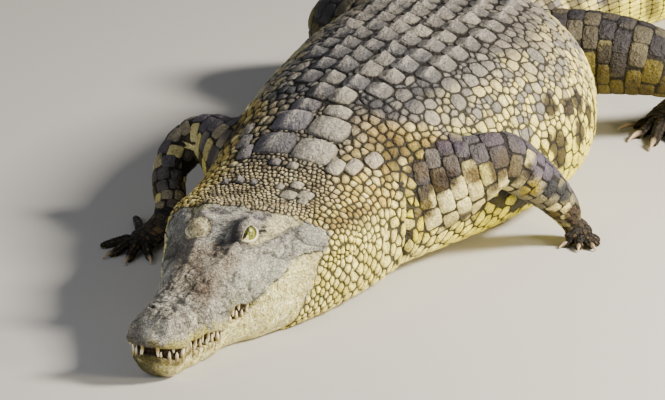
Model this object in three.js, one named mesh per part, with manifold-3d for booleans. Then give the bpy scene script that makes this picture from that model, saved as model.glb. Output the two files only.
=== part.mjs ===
// A life-size adult Nile crocodile lying on its belly, as a still museum model.
// Millimetres, +Z up. The snout points along -Y, the tail along +Y, and the animal's left side is +X.
// The trunk, neck and tail are one lofted tube along a bent spine, parted with thin cuts.
// The head is the front of the same tube, split along the lips. Limbs are tubes along bent bones.
import * as THREE from "three";
import { ConvexGeometry } from "three/addons/geometries/ConvexGeometry.js";
import { mergeVertices } from "three/addons/utils/BufferGeometryUtils.js";
import Module from "manifold-3d";

const wasm = await Module();
wasm.setup();
const { Manifold } = wasm;

// ---------------------------------------------------------------- driving dimensions
const LENGTH = 4000; // snout tip to tail tip, along the spine
const JAW_END = 572; // where head and lower jaw part from the neck
const NECK_END = 880; // in front of the shoulders
const TAIL_START = 2020; // behind the hips
const TAIL_CUTS = [2450, 2920, 3420]; // the tail's lengths
const PART_GAP = 0.6; // the thin cut between neighbouring pieces
const SIDES = 24; // points round a ring of the neck and trunk
const TAIL_SIDES = 16;
const LIMB_SIDES = 12;
const TOE_SIDES = 5;

// ---------------------------------------------------------------- small helpers
const clamp = (v, low, high) => Math.min(high, Math.max(low, v));
const mix = (a, b, t) => a + (b - a) * t;
const rad = (degrees) => (degrees * Math.PI) / 180;

// A smooth rise from 0 at a to 1 at b.
function ramp(v, a, b) {
  const t = clamp((v - a) / (b - a), 0, 1);
  return t * t * (3 - 2 * t);
}

// A round hill of height 1 at the centre, r wide.
const hill = (d, r) => Math.exp(-((d / r) ** 2));

// A curve through [station, value] pairs that never overshoots them (monotone cubic).
function profile(pairs) {
  const n = pairs.length;
  const slope = [];
  for (let i = 0; i < n - 1; i++)
    slope.push((pairs[i + 1][1] - pairs[i][1]) / (pairs[i + 1][0] - pairs[i][0]));
  const tangent = pairs.map((_, i) => {
    if (i === 0) return slope[0];
    if (i === n - 1) return slope[n - 2];
    const [a, b] = [slope[i - 1], slope[i]];
    return a * b <= 0 ? 0 : (2 * a * b) / (a + b);
  });
  return (s) => {
    const x = clamp(s, pairs[0][0], pairs[n - 1][0]);
    let i = 0;
    while (i < n - 2 && x > pairs[i + 1][0]) i++;
    const h = pairs[i + 1][0] - pairs[i][0];
    const t = (x - pairs[i][0]) / h;
    const [t2, t3] = [t * t, t * t * t];
    return (
      (2 * t3 - 3 * t2 + 1) * pairs[i][1] +
      (t3 - 2 * t2 + t) * h * tangent[i] +
      (3 * t2 - 2 * t3) * pairs[i + 1][1] +
      (t3 - t2) * h * tangent[i + 1]
    );
  };
}

// ---------------------------------------------------------------- the body's shape
// Each profile is a list of [station along the spine, value].
const halfWidth = profile([
  [0, 58], [45, 67], [82, 52], [94, 52], [122, 68], [160, 82], [212, 84], [285, 104], [360, 138],
  [425, 163], [490, 186], [555, 206], [640, 220], [740, 230], [850, 246], [980, 284], [1180, 334],
  [1400, 360], [1600, 340], [1780, 286], [1900, 236], [2020, 192], [2180, 156], [2450, 120],
  [2750, 90], [3050, 66], [3350, 45], [3650, 27], [3860, 14], [4000, 5],
]);
const topHeight = profile([
  [0, 109], [55, 141], [90, 131], [125, 135], [200, 155], [285, 181], [350, 205], [400, 221],
  [470, 233], [530, 239], [600, 253], [680, 279], [760, 313], [880, 360], [980, 394], [1180, 428],
  [1400, 440], [1600, 428], [1780, 392], [1900, 360], [2020, 322], [2180, 284], [2450, 244],
  [2750, 208], [3050, 176], [3350, 142], [3650, 104], [3860, 64], [4000, 14],
]);
// Height of the widest level, which on the head is the lip line.
const wideLevel = profile([
  [0, 69], [45, 61], [90, 79], [155, 66], [235, 91], [310, 89], [350, 102], [405, 124], [490, 151],
  [555, 163], [640, 146], [740, 136], [880, 146], [1000, 160], [1400, 174], [1780, 146], [1900, 134],
  [2020, 122], [2180, 110], [2450, 96], [2750, 84], [3050, 72], [3350, 58], [3650, 42], [3860, 28],
  [4000, 8],
]);
// Below zero the belly is pressed flat on the floor.
const underside = profile([[0, 34], [30, 8], [70, -6], [600, -8], [3900, -8], [4000, 0]]);
// A section is a rounded square above and below its widest level: 2 is an ellipse, more is squarer.
const upperSquareness = profile([
  [0, 2.3], [200, 2.5], [400, 2.3], [600, 2.2], [1400, 2.3], [2020, 2.1], [2450, 1.8],
]);
const lowerSquareness = profile([
  [0, 2.4], [300, 3], [480, 4.2], [740, 4.2], [880, 3], [1400, 2.7], [2450, 2.6],
]);
// How far the lower jaw stands inside the upper, and how far it is open.
const jawInset = profile([
  [0, 10], [66, 10], [82, -9], [94, -9], [108, 10], [160, 10], [320, 10], [470, 3], [535, 0],
]);
const mouthGap = profile([
  [0, 10], [70, 10], [92, 8], [150, 9], [172, 2], [212, 2], [228, 9], [300, 8], [318, 1.4], [560, 1.4],
]);

// The snout tip is round: 0 at the tip and 1 from `length` on.
const noseCap = (s, length) => (s >= length ? 1 : Math.sqrt(1 - (1 - s / length) ** 2));

// Skull table: a flat roof from the eyes back, narrower than the cheeks.
const tableHalfWidth = profile([[360, 44], [410, 74], [525, 94], [600, 94]]);
const tableHeight = 243;
function skullTable(s, x) {
  const along = ramp(s, 350, 398) * (1 - ramp(s, 516, 552));
  const across = 1 - ramp(Math.abs(x), tableHalfWidth(s) - 6, tableHalfWidth(s) + 26);
  return along * across;
}

// Bony hills on the head: [station, side offset, radius, height]; both sides get each.
const EYE = { s: 378, x: 60, z: 215, r: 23 };
const BUMPS = [
  [56, 14, 22, 10], // rims of the nostrils
  [128, 30, 30, 5], // boss over the first jaw swelling
  [205, 36, 44, 8], // boss over the second
  [285, 48, 60, 5],
  [332, 40, 30, 7], // ridge in front of the eye
  [EYE.s, EYE.x - 8, 32, 16], // brow plate
  [522, 82, 26, 6], // horn of the skull table
];

// A point of the outer surface: s along the spine, v from 0 at the back's middle through 0.5 at the
// widest level to 1 under the belly, and side +1 for left. Returns [out, up], before the spine bends.
function outline(s, v) {
  const cap = noseCap(s, 48);
  const half = halfWidth(s) * cap;
  const level = wideLevel(s);
  const angle = v * Math.PI;
  const upper = angle <= Math.PI / 2;
  const n = 2 / (upper ? upperSquareness(s) : lowerSquareness(s));
  const sx = Math.sin(angle) ** n;
  const cz = Math.abs(Math.cos(angle)) ** n;
  if (upper) {
    const x = half * sx;
    let z = level + (topHeight(s) - level) * noseCap(s, 60) ** 0.8 * cz;
    if (s < 700) {
      const roof = skullTable(s, x);
      z = mix(z, Math.max(z, tableHeight - (x / 84) ** 2 * 6), roof);
      for (const [bs, bx, r, h] of BUMPS) z += h * hill(Math.hypot(s - bs, x - bx), r) * cz ** 0.5;
    }
    return [x, z];
  }
  const x = Math.max(0, half - jawInset(s) * cap) * sx;
  const low = underside(s);
  return [x, Math.max(0, level - (level - low) * cz)];
}

// ---------------------------------------------------------------- the spine, bent on the floor
// Heading of each stretch, in degrees away from +Y towards +X.
const heading = profile([
  [0, -1], [450, 0], [650, 0], [850, 3], [1050, 7], [1300, 3], [1500, -12], [1780, -17], [2050, -10],
  [2450, 6], [2900, 20], [3400, 26], [4000, 10],
]);
const STEP = 10;
const spinePoints = [[0, 0]];
for (let s = 0; s < LENGTH; s += STEP) {
  const a = rad(heading(s + STEP / 2));
  const [x, y] = spinePoints.at(-1);
  spinePoints.push([x + STEP * Math.sin(a), y + STEP * Math.cos(a)]);
}
function place(s, out, up) {
  const i = clamp(Math.floor(s / STEP), 0, spinePoints.length - 2);
  const t = s / STEP - i;
  const x = mix(spinePoints[i][0], spinePoints[i + 1][0], t);
  const y = mix(spinePoints[i][1], spinePoints[i + 1][1], t);
  const a = rad(heading(s));
  return [x + out * Math.cos(a), y - out * Math.sin(a), up];
}

// ---------------------------------------------------------------- mesh making
// A closed tube from rings of equal count, fanned shut at both ends.
function tube(rings) {
  const n = rings[0].length;
  const middle = (ring) => ring.reduce((m, p) => m.map((c, k) => c + p[k] / n), [0, 0, 0]);
  const position = [...rings.flat(), middle(rings[0]), middle(rings.at(-1))].flat();
  const index = [];
  for (let i = 0; i < rings.length - 1; i++)
    for (let j = 0; j < n; j++) {
      const [a, b] = [i * n + j, i * n + ((j + 1) % n)];
      index.push(a, b, b + n, a, b + n, a + n);
    }
  const [first, last] = [rings.length * n, rings.length * n + 1];
  const end = (rings.length - 1) * n;
  for (let j = 0; j < n; j++) {
    index.push(first, (j + 1) % n, j);
    index.push(last, end + j, end + ((j + 1) % n));
  }
  const g = new THREE.BufferGeometry();
  g.setAttribute("position", new THREE.Float32BufferAttribute(position, 3));
  g.setIndex(index);
  return solid(g);
}

// A closed mesh made a solid, with its faces turned outwards.
function solid(geometry) {
  const g = geometry.clone();
  for (const name of ["normal", "uv"]) g.deleteAttribute(name);
  const merged = mergeVertices(g, 1e-3);
  const vertProperties = merged.attributes.position.array;
  const triVerts = new Uint32Array(merged.index.array);
  const made = new Manifold(new wasm.Mesh({ numProp: 3, vertProperties, triVerts }));
  if (made.volume() >= 0) return made;
  for (let i = 0; i < triVerts.length; i += 3) triVerts.subarray(i, i + 3).reverse();
  return new Manifold(new wasm.Mesh({ numProp: 3, vertProperties, triVerts }));
}

// The closed solid with the given points at its corners.
const convex = (points) => solid(new ConvexGeometry(points.map((p) => new THREE.Vector3(...p))));

const SLIVER = 0.2; // edges shorter than this are merged away
function geometryOf(made) {
  const m = made.simplify(SLIVER).getMesh();
  const g = new THREE.BufferGeometry();
  const v = new Float32Array(m.numVert * 3);
  for (let i = 0; i < m.numVert; i++) {
    const at = i * m.numProp;
    v.set(m.vertProperties.subarray(at, at + 3), i * 3);
  }
  g.setAttribute("position", new THREE.BufferAttribute(v, 3));
  g.setIndex(new THREE.BufferAttribute(m.triVerts, 1));
  return g;
}

// The largest of a solid's separate bodies.
const largest = (made) => made.decompose().sort((a, b) => b.volume() - a.volume())[0];

// Evenly spaced stations from one to another, about `step` apart.
function stations(from, to, step) {
  const count = Math.max(1, Math.round((to - from) / step));
  return Array.from({ length: count + 1 }, (_, i) => mix(from, to, i / count));
}

const model = new THREE.Group();
const hide = { color: 0x8f8768, roughness: 0.75, metalness: 0 };
const eyeball = { color: 0xb5b23a, roughness: 0.15, metalness: 0 };
const horn = { color: 0x3a3026, roughness: 0.45, metalness: 0 };
function add(name, made, finish) {
  const mesh = new THREE.Mesh(geometryOf(made), new THREE.MeshStandardMaterial(finish));
  mesh.name = name;
  model.add(mesh);
}

// ---------------------------------------------------------------- neck, trunk and tail
// Body ring at station s, grown outwards by `grow`.
function bodyRing(s, sides, grow = 0) {
  const level = wideLevel(s);
  return Array.from({ length: sides }, (_, j) => {
    const turn = j / sides;
    const side = turn <= 0.5 ? 1 : -1;
    const [x, z] = outline(s, turn <= 0.5 ? turn * 2 : 2 - turn * 2);
    const scale = 1 + grow / (Math.hypot(x, z - level) || 1);
    return place(s, side * x * scale, level + (z - level) * scale);
  });
}
const NECK_STATIONS = stations(JAW_END, NECK_END - PART_GAP, 62);
const TRUNK_STATIONS = stations(NECK_END, TAIL_START - PART_GAP, 80);
const TAIL_BASE_STATIONS = stations(TAIL_START, TAIL_CUTS[0] - PART_GAP, 110);
const bodyTube = (list, sides, grow) => tube(list.map((s) => bodyRing(s, sides, grow)));

// Upright scutes of the tail: a double crest that closes to a single one.
const CREST_FROM = 2130;
const CREST_JOIN = 2900; // where the two rows meet
const CREST_END = 3960;
const crestHeight = profile([[CREST_FROM, 14], [2450, 34], [2900, 56], [3250, 62], [3700, 46], [3960, 20]]);
const crestPitch = profile([[CREST_FROM, 50], [2900, 52], [3500, 44], [3960, 30]]);
const crestSpread = profile([[CREST_FROM, 52], [2450, 40], [2800, 20], [CREST_JOIN, 9]]);
// One scute: a thin blade with an upright back edge and a sloping front, rooted inside the tail.
function scute(s, out, pitch, height) {
  const root = topHeight(s) - 16 - (out / halfWidth(s)) ** 2 * 20;
  const thick = Math.max(2.2, height * 0.09);
  const points = [];
  for (const [along, up, half] of [[-0.5, 0, 1], [0.46, 0, 1], [0.5, 1, 0.4]])
    for (const side of [-1, 1])
      points.push(place(s + along * pitch * 0.94, out + side * half * thick, root + up * (height + 16)));
  return convex(points);
}
const scutes = [];
for (let s = CREST_FROM; s < CREST_END; s += crestPitch(s)) {
  const rows = s < CREST_JOIN ? [crestSpread(s), -crestSpread(s)] : [0];
  for (const out of rows) scutes.push([s, scute(s, out, crestPitch(s), crestHeight(s))]);
}

add("neck", bodyTube(NECK_STATIONS, SIDES), hide);
add("trunk", bodyTube(TRUNK_STATIONS, SIDES), hide);
const tailEnds = [TAIL_START, ...TAIL_CUTS, LENGTH];
["tail_base", "tail_middle", "tail_rear", "tail_tip"].forEach((name, i) => {
  const [from, to] = [tailEnds[i], tailEnds[i + 1] - (i < 3 ? PART_GAP : 0)];
  let made = bodyTube(stations(from, to, 110), TAIL_SIDES);
  for (const [s, blade] of scutes)
    if (s - crestPitch(s) * 0.5 > from && s + crestPitch(s) * 0.6 < to) made = made.add(blade);
  add(name, made, hide);
});

// ---------------------------------------------------------------- the head, split along the lips
// Ring of the upper head: over the roof from lip to lip, and straight back across the palate.
function roofRing(s) {
  const ring = [];
  for (let j = -8; j <= 8; j++) {
    const [x, z] = outline(s, (Math.abs(j) / 8) * 0.5);
    ring.push(place(s, Math.sign(j) * x, z));
  }
  return ring;
}
// Ring of the lower jaw: under the chin from lip to lip, and straight back under the mouth's gap.
function jawRing(s) {
  const ring = [];
  for (let j = -5; j <= 5; j++) {
    const [x, z] = outline(s, 1 - (Math.abs(j) / 5) * 0.499);
    ring.push(place(s, Math.sign(j) * x, Math.min(z, wideLevel(s) - mouthGap(s))));
  }
  return ring;
}

// Teeth that show: [station, inwards from the lip, length beyond the lip, radius].
const UPPER_TEETH = [
  [24, 5, 14, 3.6], [42, 4, 18, 4.4], [60, 4, 13, 3.8], [110, 3, 11, 3.2], [121, 4, 14, 3.6],
  [134, 4, 16, 4], [151, 4, 21, 5], [230, 4, 13, 4], [250, 4, 15, 4.6], [272, 4, 14, 4.4], [294, 4, 11, 4],
];
const LOWER_TEETH = [
  [12, 6, 8, 3.6], [33, 5, 8, 3.4], [51, 5, 8, 3.4], [67, 5, 7, 3.2], [88, 5.4, 22, 4],
];
// One tooth: a cone rooted inside its jaw. down is -1 for the upper jaw's teeth and +1 for the lower's.
function tooth(s, inset, length, radius, side, down) {
  const lip = halfWidth(s) * noseCap(s, 48) - (down > 0 ? jawInset(s) : 0) - inset;
  const level = wideLevel(s) - (down > 0 ? mouthGap(s) : 0);
  const ring = (reach, size) =>
    Array.from({ length: 4 }, (_, j) => {
      const a = (j / 4) * Math.PI * 2;
      const out = side * (lip + size * Math.sin(a));
      return place(s + size * Math.cos(a), out, level + down * reach);
    });
  return tube([ring(-6, radius), ring(length, radius * 0.16)]);
}
const bothSides = (list, down) => list.flatMap((t) => [1, -1].map((side) => tooth(...t, side, down)));
const toothSet = (list, down) => Manifold.union(bothSides(list, down));

function eye(side, grow) {
  const ball = new THREE.SphereGeometry(EYE.r + grow, 10, 7);
  return solid(ball.translate(...place(EYE.s, side * EYE.x, EYE.z)));
}
const skullStations = [
  0.5, 7, 22, 42, 64, 80, 96, 112, 138, 168, 204, 245, 285, 322, 346, 364, 384, 406, 440, 478, 512, 540,
  JAW_END - PART_GAP,
];
const roof = tube(skullStations.map(roofRing)).add(toothSet(UPPER_TEETH, -1));
const jaw = tube(skullStations.map(jawRing)).add(toothSet(LOWER_TEETH, 1));
add("head", roof.subtract(eye(1, 0.4)).subtract(eye(-1, 0.4)), hide);
add("lower_jaw", jaw, hide);
add("eye_left", eye(1, 0), eyeball);
add("eye_right", eye(-1, 0), eyeball);

// ---------------------------------------------------------------- limbs
const sub = (a, b) => a.map((c, k) => c - b[k]);
const cross = (a, b) => [a[1] * b[2] - a[2] * b[1], a[2] * b[0] - a[0] * b[2], a[0] * b[1] - a[1] * b[0]];
const unit = (a) => a.map((c) => c / Math.hypot(...a));

// A smooth curve through the points of a limb; each point is [x, y, z, half width, half height].
function along(points, t) {
  const i = Math.min(points.length - 2, Math.floor(t));
  const f = t - i;
  const at = (k) => points[clamp(k, 0, points.length - 1)];
  return points[0].map((_, k) => {
    const [a, b, c, d] = [at(i - 1)[k], at(i)[k], at(i + 1)[k], at(i + 2)[k]];
    return b + 0.5 * f * (c - a + f * (2 * a - 5 * b + 4 * c - d + f * (3 * (b - c) + d - a)));
  });
}

// One ring of a limb at place t on its curve, pushed `shift` along the curve. Its underside is flat
// where it reaches the floor.
function limbRing(points, t, sides, grow = 0, shift = 0) {
  const p = along(points, t);
  const ahead = along(points, Math.min(points.length - 1, t + 0.02));
  const behind = along(points, Math.max(0, t - 0.02));
  const run = unit(sub(ahead, behind).slice(0, 3));
  const across = unit(cross(run, [0, 0, 1]));
  const over = cross(across, run);
  return Array.from({ length: sides }, (_, j) => {
    const a = (j / sides) * Math.PI * 2;
    const [ca, sa] = [Math.cos(a) * (p[3] + grow), Math.sin(a) * (p[4] + grow)];
    const q = [0, 1, 2].map((k) => p[k] + run[k] * shift + across[k] * ca + over[k] * sa);
    return [q[0], q[1], Math.max(0, q[2])];
  });
}
// A stretch of a limb; with `parted` its near end stands clear of the stretch before it.
function limb(points, from, to, sides, perSpan, { grow = 0, parted = false } = {}) {
  const count = Math.max(1, Math.round((to - from) * perSpan));
  return tube(Array.from({ length: count + 1 }, (_, i) =>
    limbRing(points, mix(from, to, i / count), sides, grow, parted && i === 0 ? PART_GAP : 0)));
}

// A foot's toes: from the knuckles to each tip; `thick` is the half width at the knuckle.
function toePath(knuckle, tip, thick) {
  const between = (f, up, w) => [mix(knuckle[0], tip[0], f), mix(knuckle[1], tip[1], f), up, w, w * 0.92];
  return [
    between(-0.25, thick * 0.78, thick * 0.9),
    between(0.15, thick * 1.4, thick),
    between(0.55, thick * 1.05, thick * 0.86),
    between(0.85, thick * 0.6, thick * 0.74),
    between(1, thick * 0.42, thick * 0.5),
  ];
}
// A claw: a curved spike that carries on from the toe's tip and stays clear of the floor.
function clawPath(knuckle, tip, thick, length) {
  const way = unit([tip[0] - knuckle[0], tip[1] - knuckle[1], 0]);
  const out = (d, up, w) => [tip[0] + way[0] * d, tip[1] + way[1] * d, up, w, w * 1.1];
  const base = thick * 0.42;
  return [
    out(-length * 0.3, thick * 0.75, base * 0.9),
    out(length * 0.1, thick * 0.86, base),
    out(length * 0.55, thick * 0.68, base * 0.62),
    out(length, 3.2, 1),
  ];
}

// Each limb: its curve from inside the body to the knuckles, where it is jointed, and its toes' tips.
const LIMBS = {
  left_fore: {
    curve: [
      [110, 905, 170, 112, 122], [215, 935, 182, 88, 112], [300, 985, 210, 66, 88],
      [358, 1042, 230, 55, 66], [396, 1100, 190, 51, 57], [428, 1160, 134, 45, 46],
      [447, 1200, 86, 42, 37], [458, 1214, 56, 41, 29], [470, 1218, 34, 41, 21], [484, 1212, 17, 38, 18],
    ],
    joints: [3, 6],
    toes: [[518, 1240, 12], [528, 1212, 13], [522, 1186, 13], [498, 1170, 13], [464, 1176, 12]],
    claws: [2, 3, 4],
    clawLength: 18,
  },
  right_fore: {
    curve: [
      [-110, 890, 165, 112, 120], [-205, 925, 178, 86, 104], [-266, 962, 194, 64, 80],
      [-316, 994, 202, 48, 60], [-366, 1002, 188, 46, 52], [-394, 970, 154, 42, 46],
      [-392, 930, 114, 38, 40], [-372, 898, 80, 36, 34], [-362, 864, 53, 38, 28], [-374, 828, 32, 46, 20],
      [-394, 798, 17, 50, 18],
    ],
    joints: [3.6, 8],
    toes: [[-490, 962, 12], [-474, 753, 13], [-428, 706, 13], [-379, 690, 13], [-339, 716, 12]],
    claws: [2, 3, 4],
    clawLength: 26,
  },
  left_hind: {
    curve: [
      [20, 1890, 180, 108, 112], [140, 1930, 196, 98, 104], [240, 1958, 200, 88, 96],
      [325, 1975, 192, 76, 86], [388, 1998, 172, 62, 72], [424, 2044, 140, 54, 58],
      [436, 2100, 106, 46, 46], [424, 2156, 74, 40, 38], [386, 2180, 50, 36, 31], [354, 2154, 35, 38, 25],
      [346, 2112, 25, 46, 20], [350, 2070, 17, 54, 18],
    ],
    joints: [4.5, 8],
    toes: [[288, 2030, 15], [322, 1968, 16], [376, 1926, 17], [430, 1950, 15]],
    claws: [0, 1, 2],
    clawLength: 40,
    webbed: true,
  },
  right_hind: {
    curve: [
      [-120, 1850, 180, 108, 112], [-250, 1880, 190, 98, 104], [-360, 1915, 188, 88, 96],
      [-436, 1968, 174, 74, 84], [-470, 2034, 150, 62, 70], [-468, 2104, 118, 52, 55],
      [-440, 2170, 84, 44, 43], [-410, 2222, 56, 40, 33], [-404, 2270, 36, 42, 26],
      [-412, 2312, 26, 48, 21], [-424, 2346, 17, 54, 18],
    ],
    joints: [4.4, 7],
    toes: [[-396, 2462, 15], [-458, 2470, 16], [-516, 2438, 17], [-540, 2376, 15]],
    claws: [0, 1, 2],
    clawLength: 40,
    webbed: true,
  },
};

// The body grown a little, which is what the limbs' roots stand clear of.
const bodyGrown = tube(
  [...NECK_STATIONS, ...TRUNK_STATIONS, ...TAIL_BASE_STATIONS].map((s) =>
    bodyRing(s, SIDES, s < TAIL_START ? 0.5 : 2.5)),
);
for (const [name, { curve, joints, toes, claws, clawLength, webbed }] of Object.entries(LIMBS)) {
  const end = curve.length - 1;
  const [elbow, wrist] = joints;
  const upperGrown = limb(curve, 0, elbow, LIMB_SIDES, 1.5, { grow: 0.5 });
  const lowerGrown = limb(curve, elbow, wrist, LIMB_SIDES, 1.5, { grow: 0.5 });
  const upper = limb(curve, 0, elbow, LIMB_SIDES, 1.5).subtract(bodyGrown);
  const lower = limb(curve, elbow, wrist, LIMB_SIDES, 1.5, { parted: true }).subtract(upperGrown);
  let foot = limb(curve, wrist, end, LIMB_SIDES, 1, { parted: true });
  const knuckles = curve[end];
  const knuckle = (tip) => [mix(knuckles[0], tip[0], 0.22), mix(knuckles[1], tip[1], 0.22)];
  for (const tip of toes) {
    const path = toePath(knuckle(tip), tip, tip[2]);
    foot = foot.add(limb(path, 0, path.length - 1, TOE_SIDES, 0.75));
  }
  // A thin web fills the gaps between the hind toes.
  for (let i = 0; webbed && i < toes.length - 1; i++) {
    const reach = [toes[i], toes[i + 1]].map((tip) => knuckle(tip).map((c, k) => mix(c, tip[k], 0.55)));
    foot = foot.add(convex([knuckles, ...reach].flatMap(([x, y]) => [[x, y, 3], [x, y, 9]])));
  }
  foot = foot.simplify(2.5);
  claws.forEach((toe, k) => {
    const tip = toes[toe];
    const path = clawPath(knuckle(tip), tip, tip[2], clawLength);
    const claw = (options) => limb(path, 0, path.length - 1, TOE_SIDES, 0.75, options);
    foot = foot.subtract(claw({ grow: PART_GAP }));
    add(`claw_${name}_${k + 1}`, claw({ parted: true }), horn);
  });
  add(`${name}_upper`, largest(upper), hide);
  add(`${name}_lower`, largest(lower.subtract(bodyGrown)), hide);
  add(`${name}_foot`, largest(foot.subtract(lowerGrown).subtract(upperGrown)), hide);
}

// The origin is at floor level under the middle of the bounding box.
const box = new THREE.Box3().setFromObject(model);
const centre = box.getCenter(new THREE.Vector3());
model.position.set(-centre.x, -centre.y, -box.min.z);

export default model;
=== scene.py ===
# A life-size adult Nile crocodile lying on its belly, as a still museum model, on a plain studio floor.
# Lengths are millimetres in the animal's own axes: the snout's tip at the origin, +Y towards the tail,
# +X the animal's left, +Z up. Each mesh is turned into metres in the frame's axes as it is made.
import math

import bpy
import numpy as np
from mathutils import Matrix, Vector
from mathutils.bvhtree import BVHTree
from mathutils.kdtree import KDTree


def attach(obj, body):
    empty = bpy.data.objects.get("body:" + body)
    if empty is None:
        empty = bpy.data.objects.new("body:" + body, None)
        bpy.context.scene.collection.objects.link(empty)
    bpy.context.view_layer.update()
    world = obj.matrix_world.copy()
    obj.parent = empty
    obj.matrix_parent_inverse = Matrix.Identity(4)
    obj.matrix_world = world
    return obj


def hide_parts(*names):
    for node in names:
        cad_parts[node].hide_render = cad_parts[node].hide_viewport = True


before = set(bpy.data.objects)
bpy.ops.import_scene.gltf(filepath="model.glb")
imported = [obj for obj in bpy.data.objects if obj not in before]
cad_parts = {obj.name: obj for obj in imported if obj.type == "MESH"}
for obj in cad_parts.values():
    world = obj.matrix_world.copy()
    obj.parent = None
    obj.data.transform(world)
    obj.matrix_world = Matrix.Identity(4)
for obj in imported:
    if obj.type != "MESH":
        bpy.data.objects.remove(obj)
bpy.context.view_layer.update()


# ---------------------------------------------------------------- the body's form
# The living animal's neck, trunk and tail are one tube of hide over muscle, and the head is the front
# of it. Each profile gives one measure of that tube at stations along the spine.
LENGTH = 4000  # snout tip to tail tip, along the spine
SNOUT_TIP = np.array([3.7156, -1942.6055, 0])  # where the tip lies in the frame, at floor level


def profile(*pairs):
    """A smooth curve through (station, value) pairs that never overshoots them: a cubic on each span,
    with harmonic-mean slopes where the curve keeps its direction and level ones where it turns."""
    x, y = np.array(pairs, float).T
    slope = np.diff(y) / np.diff(x)
    product = slope[:-1] * slope[1:]
    total = np.where(product > 0, slope[:-1] + slope[1:], 1)
    inner = np.where(product > 0, 2 * product / total, 0)
    tangent = np.concatenate([slope[:1], inner, slope[-1:]])

    def at(s):
        """The curve's value at each station, held level past its ends."""
        s = np.clip(s, x[0], x[-1])
        i = np.clip(np.searchsorted(x, s, side="right") - 1, 0, len(x) - 2)
        h = x[i + 1] - x[i]
        t = (s - x[i]) / h
        t2, t3 = t * t, t * t * t
        ends = (2 * t3 - 3 * t2 + 1) * y[i] + (3 * t2 - 2 * t3) * y[i + 1]
        return ends + h * ((t3 - 2 * t2 + t) * tangent[i] + (t3 - t2) * tangent[i + 1])

    return at


half_width = profile(
    (0, 58), (45, 68), (82, 57), (94, 57), (122, 69), (160, 82), (212, 84), (285, 104), (360, 138),
    (425, 163), (490, 186), (555, 206), (640, 220), (740, 230), (850, 246), (980, 284), (1180, 334),
    (1400, 360), (1600, 340), (1780, 286), (1900, 236), (2020, 192), (2180, 156), (2450, 120),
    (2750, 90), (3050, 66), (3350, 45), (3650, 27), (3860, 14), (4000, 5),
)
top_height = profile(
    (0, 114), (55, 146), (90, 134), (125, 136), (200, 155), (285, 181), (350, 205), (400, 221),
    (470, 233), (530, 239), (600, 253), (680, 279), (760, 313), (880, 360), (980, 394), (1180, 428),
    (1400, 440), (1600, 428), (1780, 392), (1900, 360), (2020, 322), (2180, 284), (2450, 244),
    (2750, 208), (3050, 176), (3350, 142), (3650, 104), (3860, 64), (4000, 14),
)
# The level of the widest point, which on the head is the lip line up to the cheek.
LIP_FRONT = (
    (0, 80), (40, 75), (85, 71), (109, 72), (130, 77), (157, 77), (185, 68), (214, 64), (236, 103),
    (250, 107), (286, 102),
)
wide_level = profile(
    *LIP_FRONT, (310, 98), (350, 104), (405, 124), (490, 151), (555, 163), (640, 146), (740, 136),
    (880, 146), (1000, 160), (1400, 174), (1780, 146), (1900, 134), (2020, 122), (2180, 110),
    (2450, 96), (2750, 84), (3050, 72), (3350, 58), (3650, 42), (3860, 28), (4000, 8),
)
underside = profile((0, 34), (30, 8), (70, -6), (600, -8), (3900, -8), (4000, 0))
# The power of the rounded square that each half of the section is: 2 is an ellipse.
upper_squareness = profile(
    (0, 2.3), (200, 2.5), (400, 2.3), (600, 2.2), (1400, 2.3), (2020, 2.1), (2450, 1.8)
)
lower_squareness = profile((0, 2.4), (300, 3), (480, 4.2), (740, 4.2), (880, 3), (1400, 2.7), (2450, 2.6))
# How far the lower jaw stands in from the upper lip.
jaw_inset = profile(
    (0, 10), (66, 9), (84, 0), (94, 0), (108, 9), (160, 9), (190, 5), (225, 8), (300, 8), (335, 1), (535, 0)
)
# The upper lip's edge, which behind the teeth climbs the cheek to the mouth's corner, and the gap below.
lip_level = profile(
    *LIP_FRONT, (310, 106), (337, 121), (352, 133), (373, 141), (394, 154), (415, 165), (439, 172),
    (463, 171), (490, 169),
)
mouth_gap = profile(
    (0, 16), (8, 20), (22, 25), (45, 21), (60, 17), (72, 12), (86, 11), (96, 14), (106, 25), (130, 29),
    (160, 27), (184, 20), (197, 2.4), (220, 2.4), (231, 20), (243, 37), (272, 31), (296, 20), (310, 3),
    (330, 1.6), (500, 1.6),
)
# The flat table of bone on top of the skull.
table_half_width = profile((360, 44), (410, 74), (525, 94), (600, 94))
TABLE_HEIGHT = 243
SNOUT_ROUND, ROOF_ROUND = 48, 60  # how far back the snout tip's rounding goes, in plan and on top
FLOOR_CLEARANCE = 0.8  # how far the hide stays above the floor, so that the two never share a plane
EYE = {"s": 380, "x": 51, "z": 221, "r": 24}
RIGHT_EYE_SHIFT = np.array([-6.0, -4.0, -5.0])  # that eye is drawn in, deeper and further out
# Bony hills on the head: station, side offset, radius, height.
HILLS = (
    (56, 14, 22, 10), (128, 30, 30, 5), (205, 36, 44, 8), (285, 48, 60, 5), (332, 40, 30, 7),
    (EYE["s"] + 4, EYE["x"] + 3, 30, 21), (510, 84, 26, 6),
)


def ramp(v, a, b):
    """A smooth rise from 0 at a to 1 at b."""
    t = np.clip((v - a) / (b - a), 0, 1)
    return t * t * (3 - 2 * t)


def fall(v, a, b):
    """A smooth fall from 1 at a to 0 at b."""
    return 1 - ramp(v, a, b)


def hill(distance, radius):
    """A round hill of height 1 at its centre."""
    return np.exp(-((distance / radius) ** 2))


def mix(a, b, t):
    """a where t is 0 and b where it is 1."""
    return a + (b - a) * t


def snout_cap(s, length):
    """The snout tip's rounding: 0 at the tip, 1 from `length` on."""
    return np.sqrt(1 - (1 - np.clip(s / length, 0, 1)) ** 2)


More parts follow.
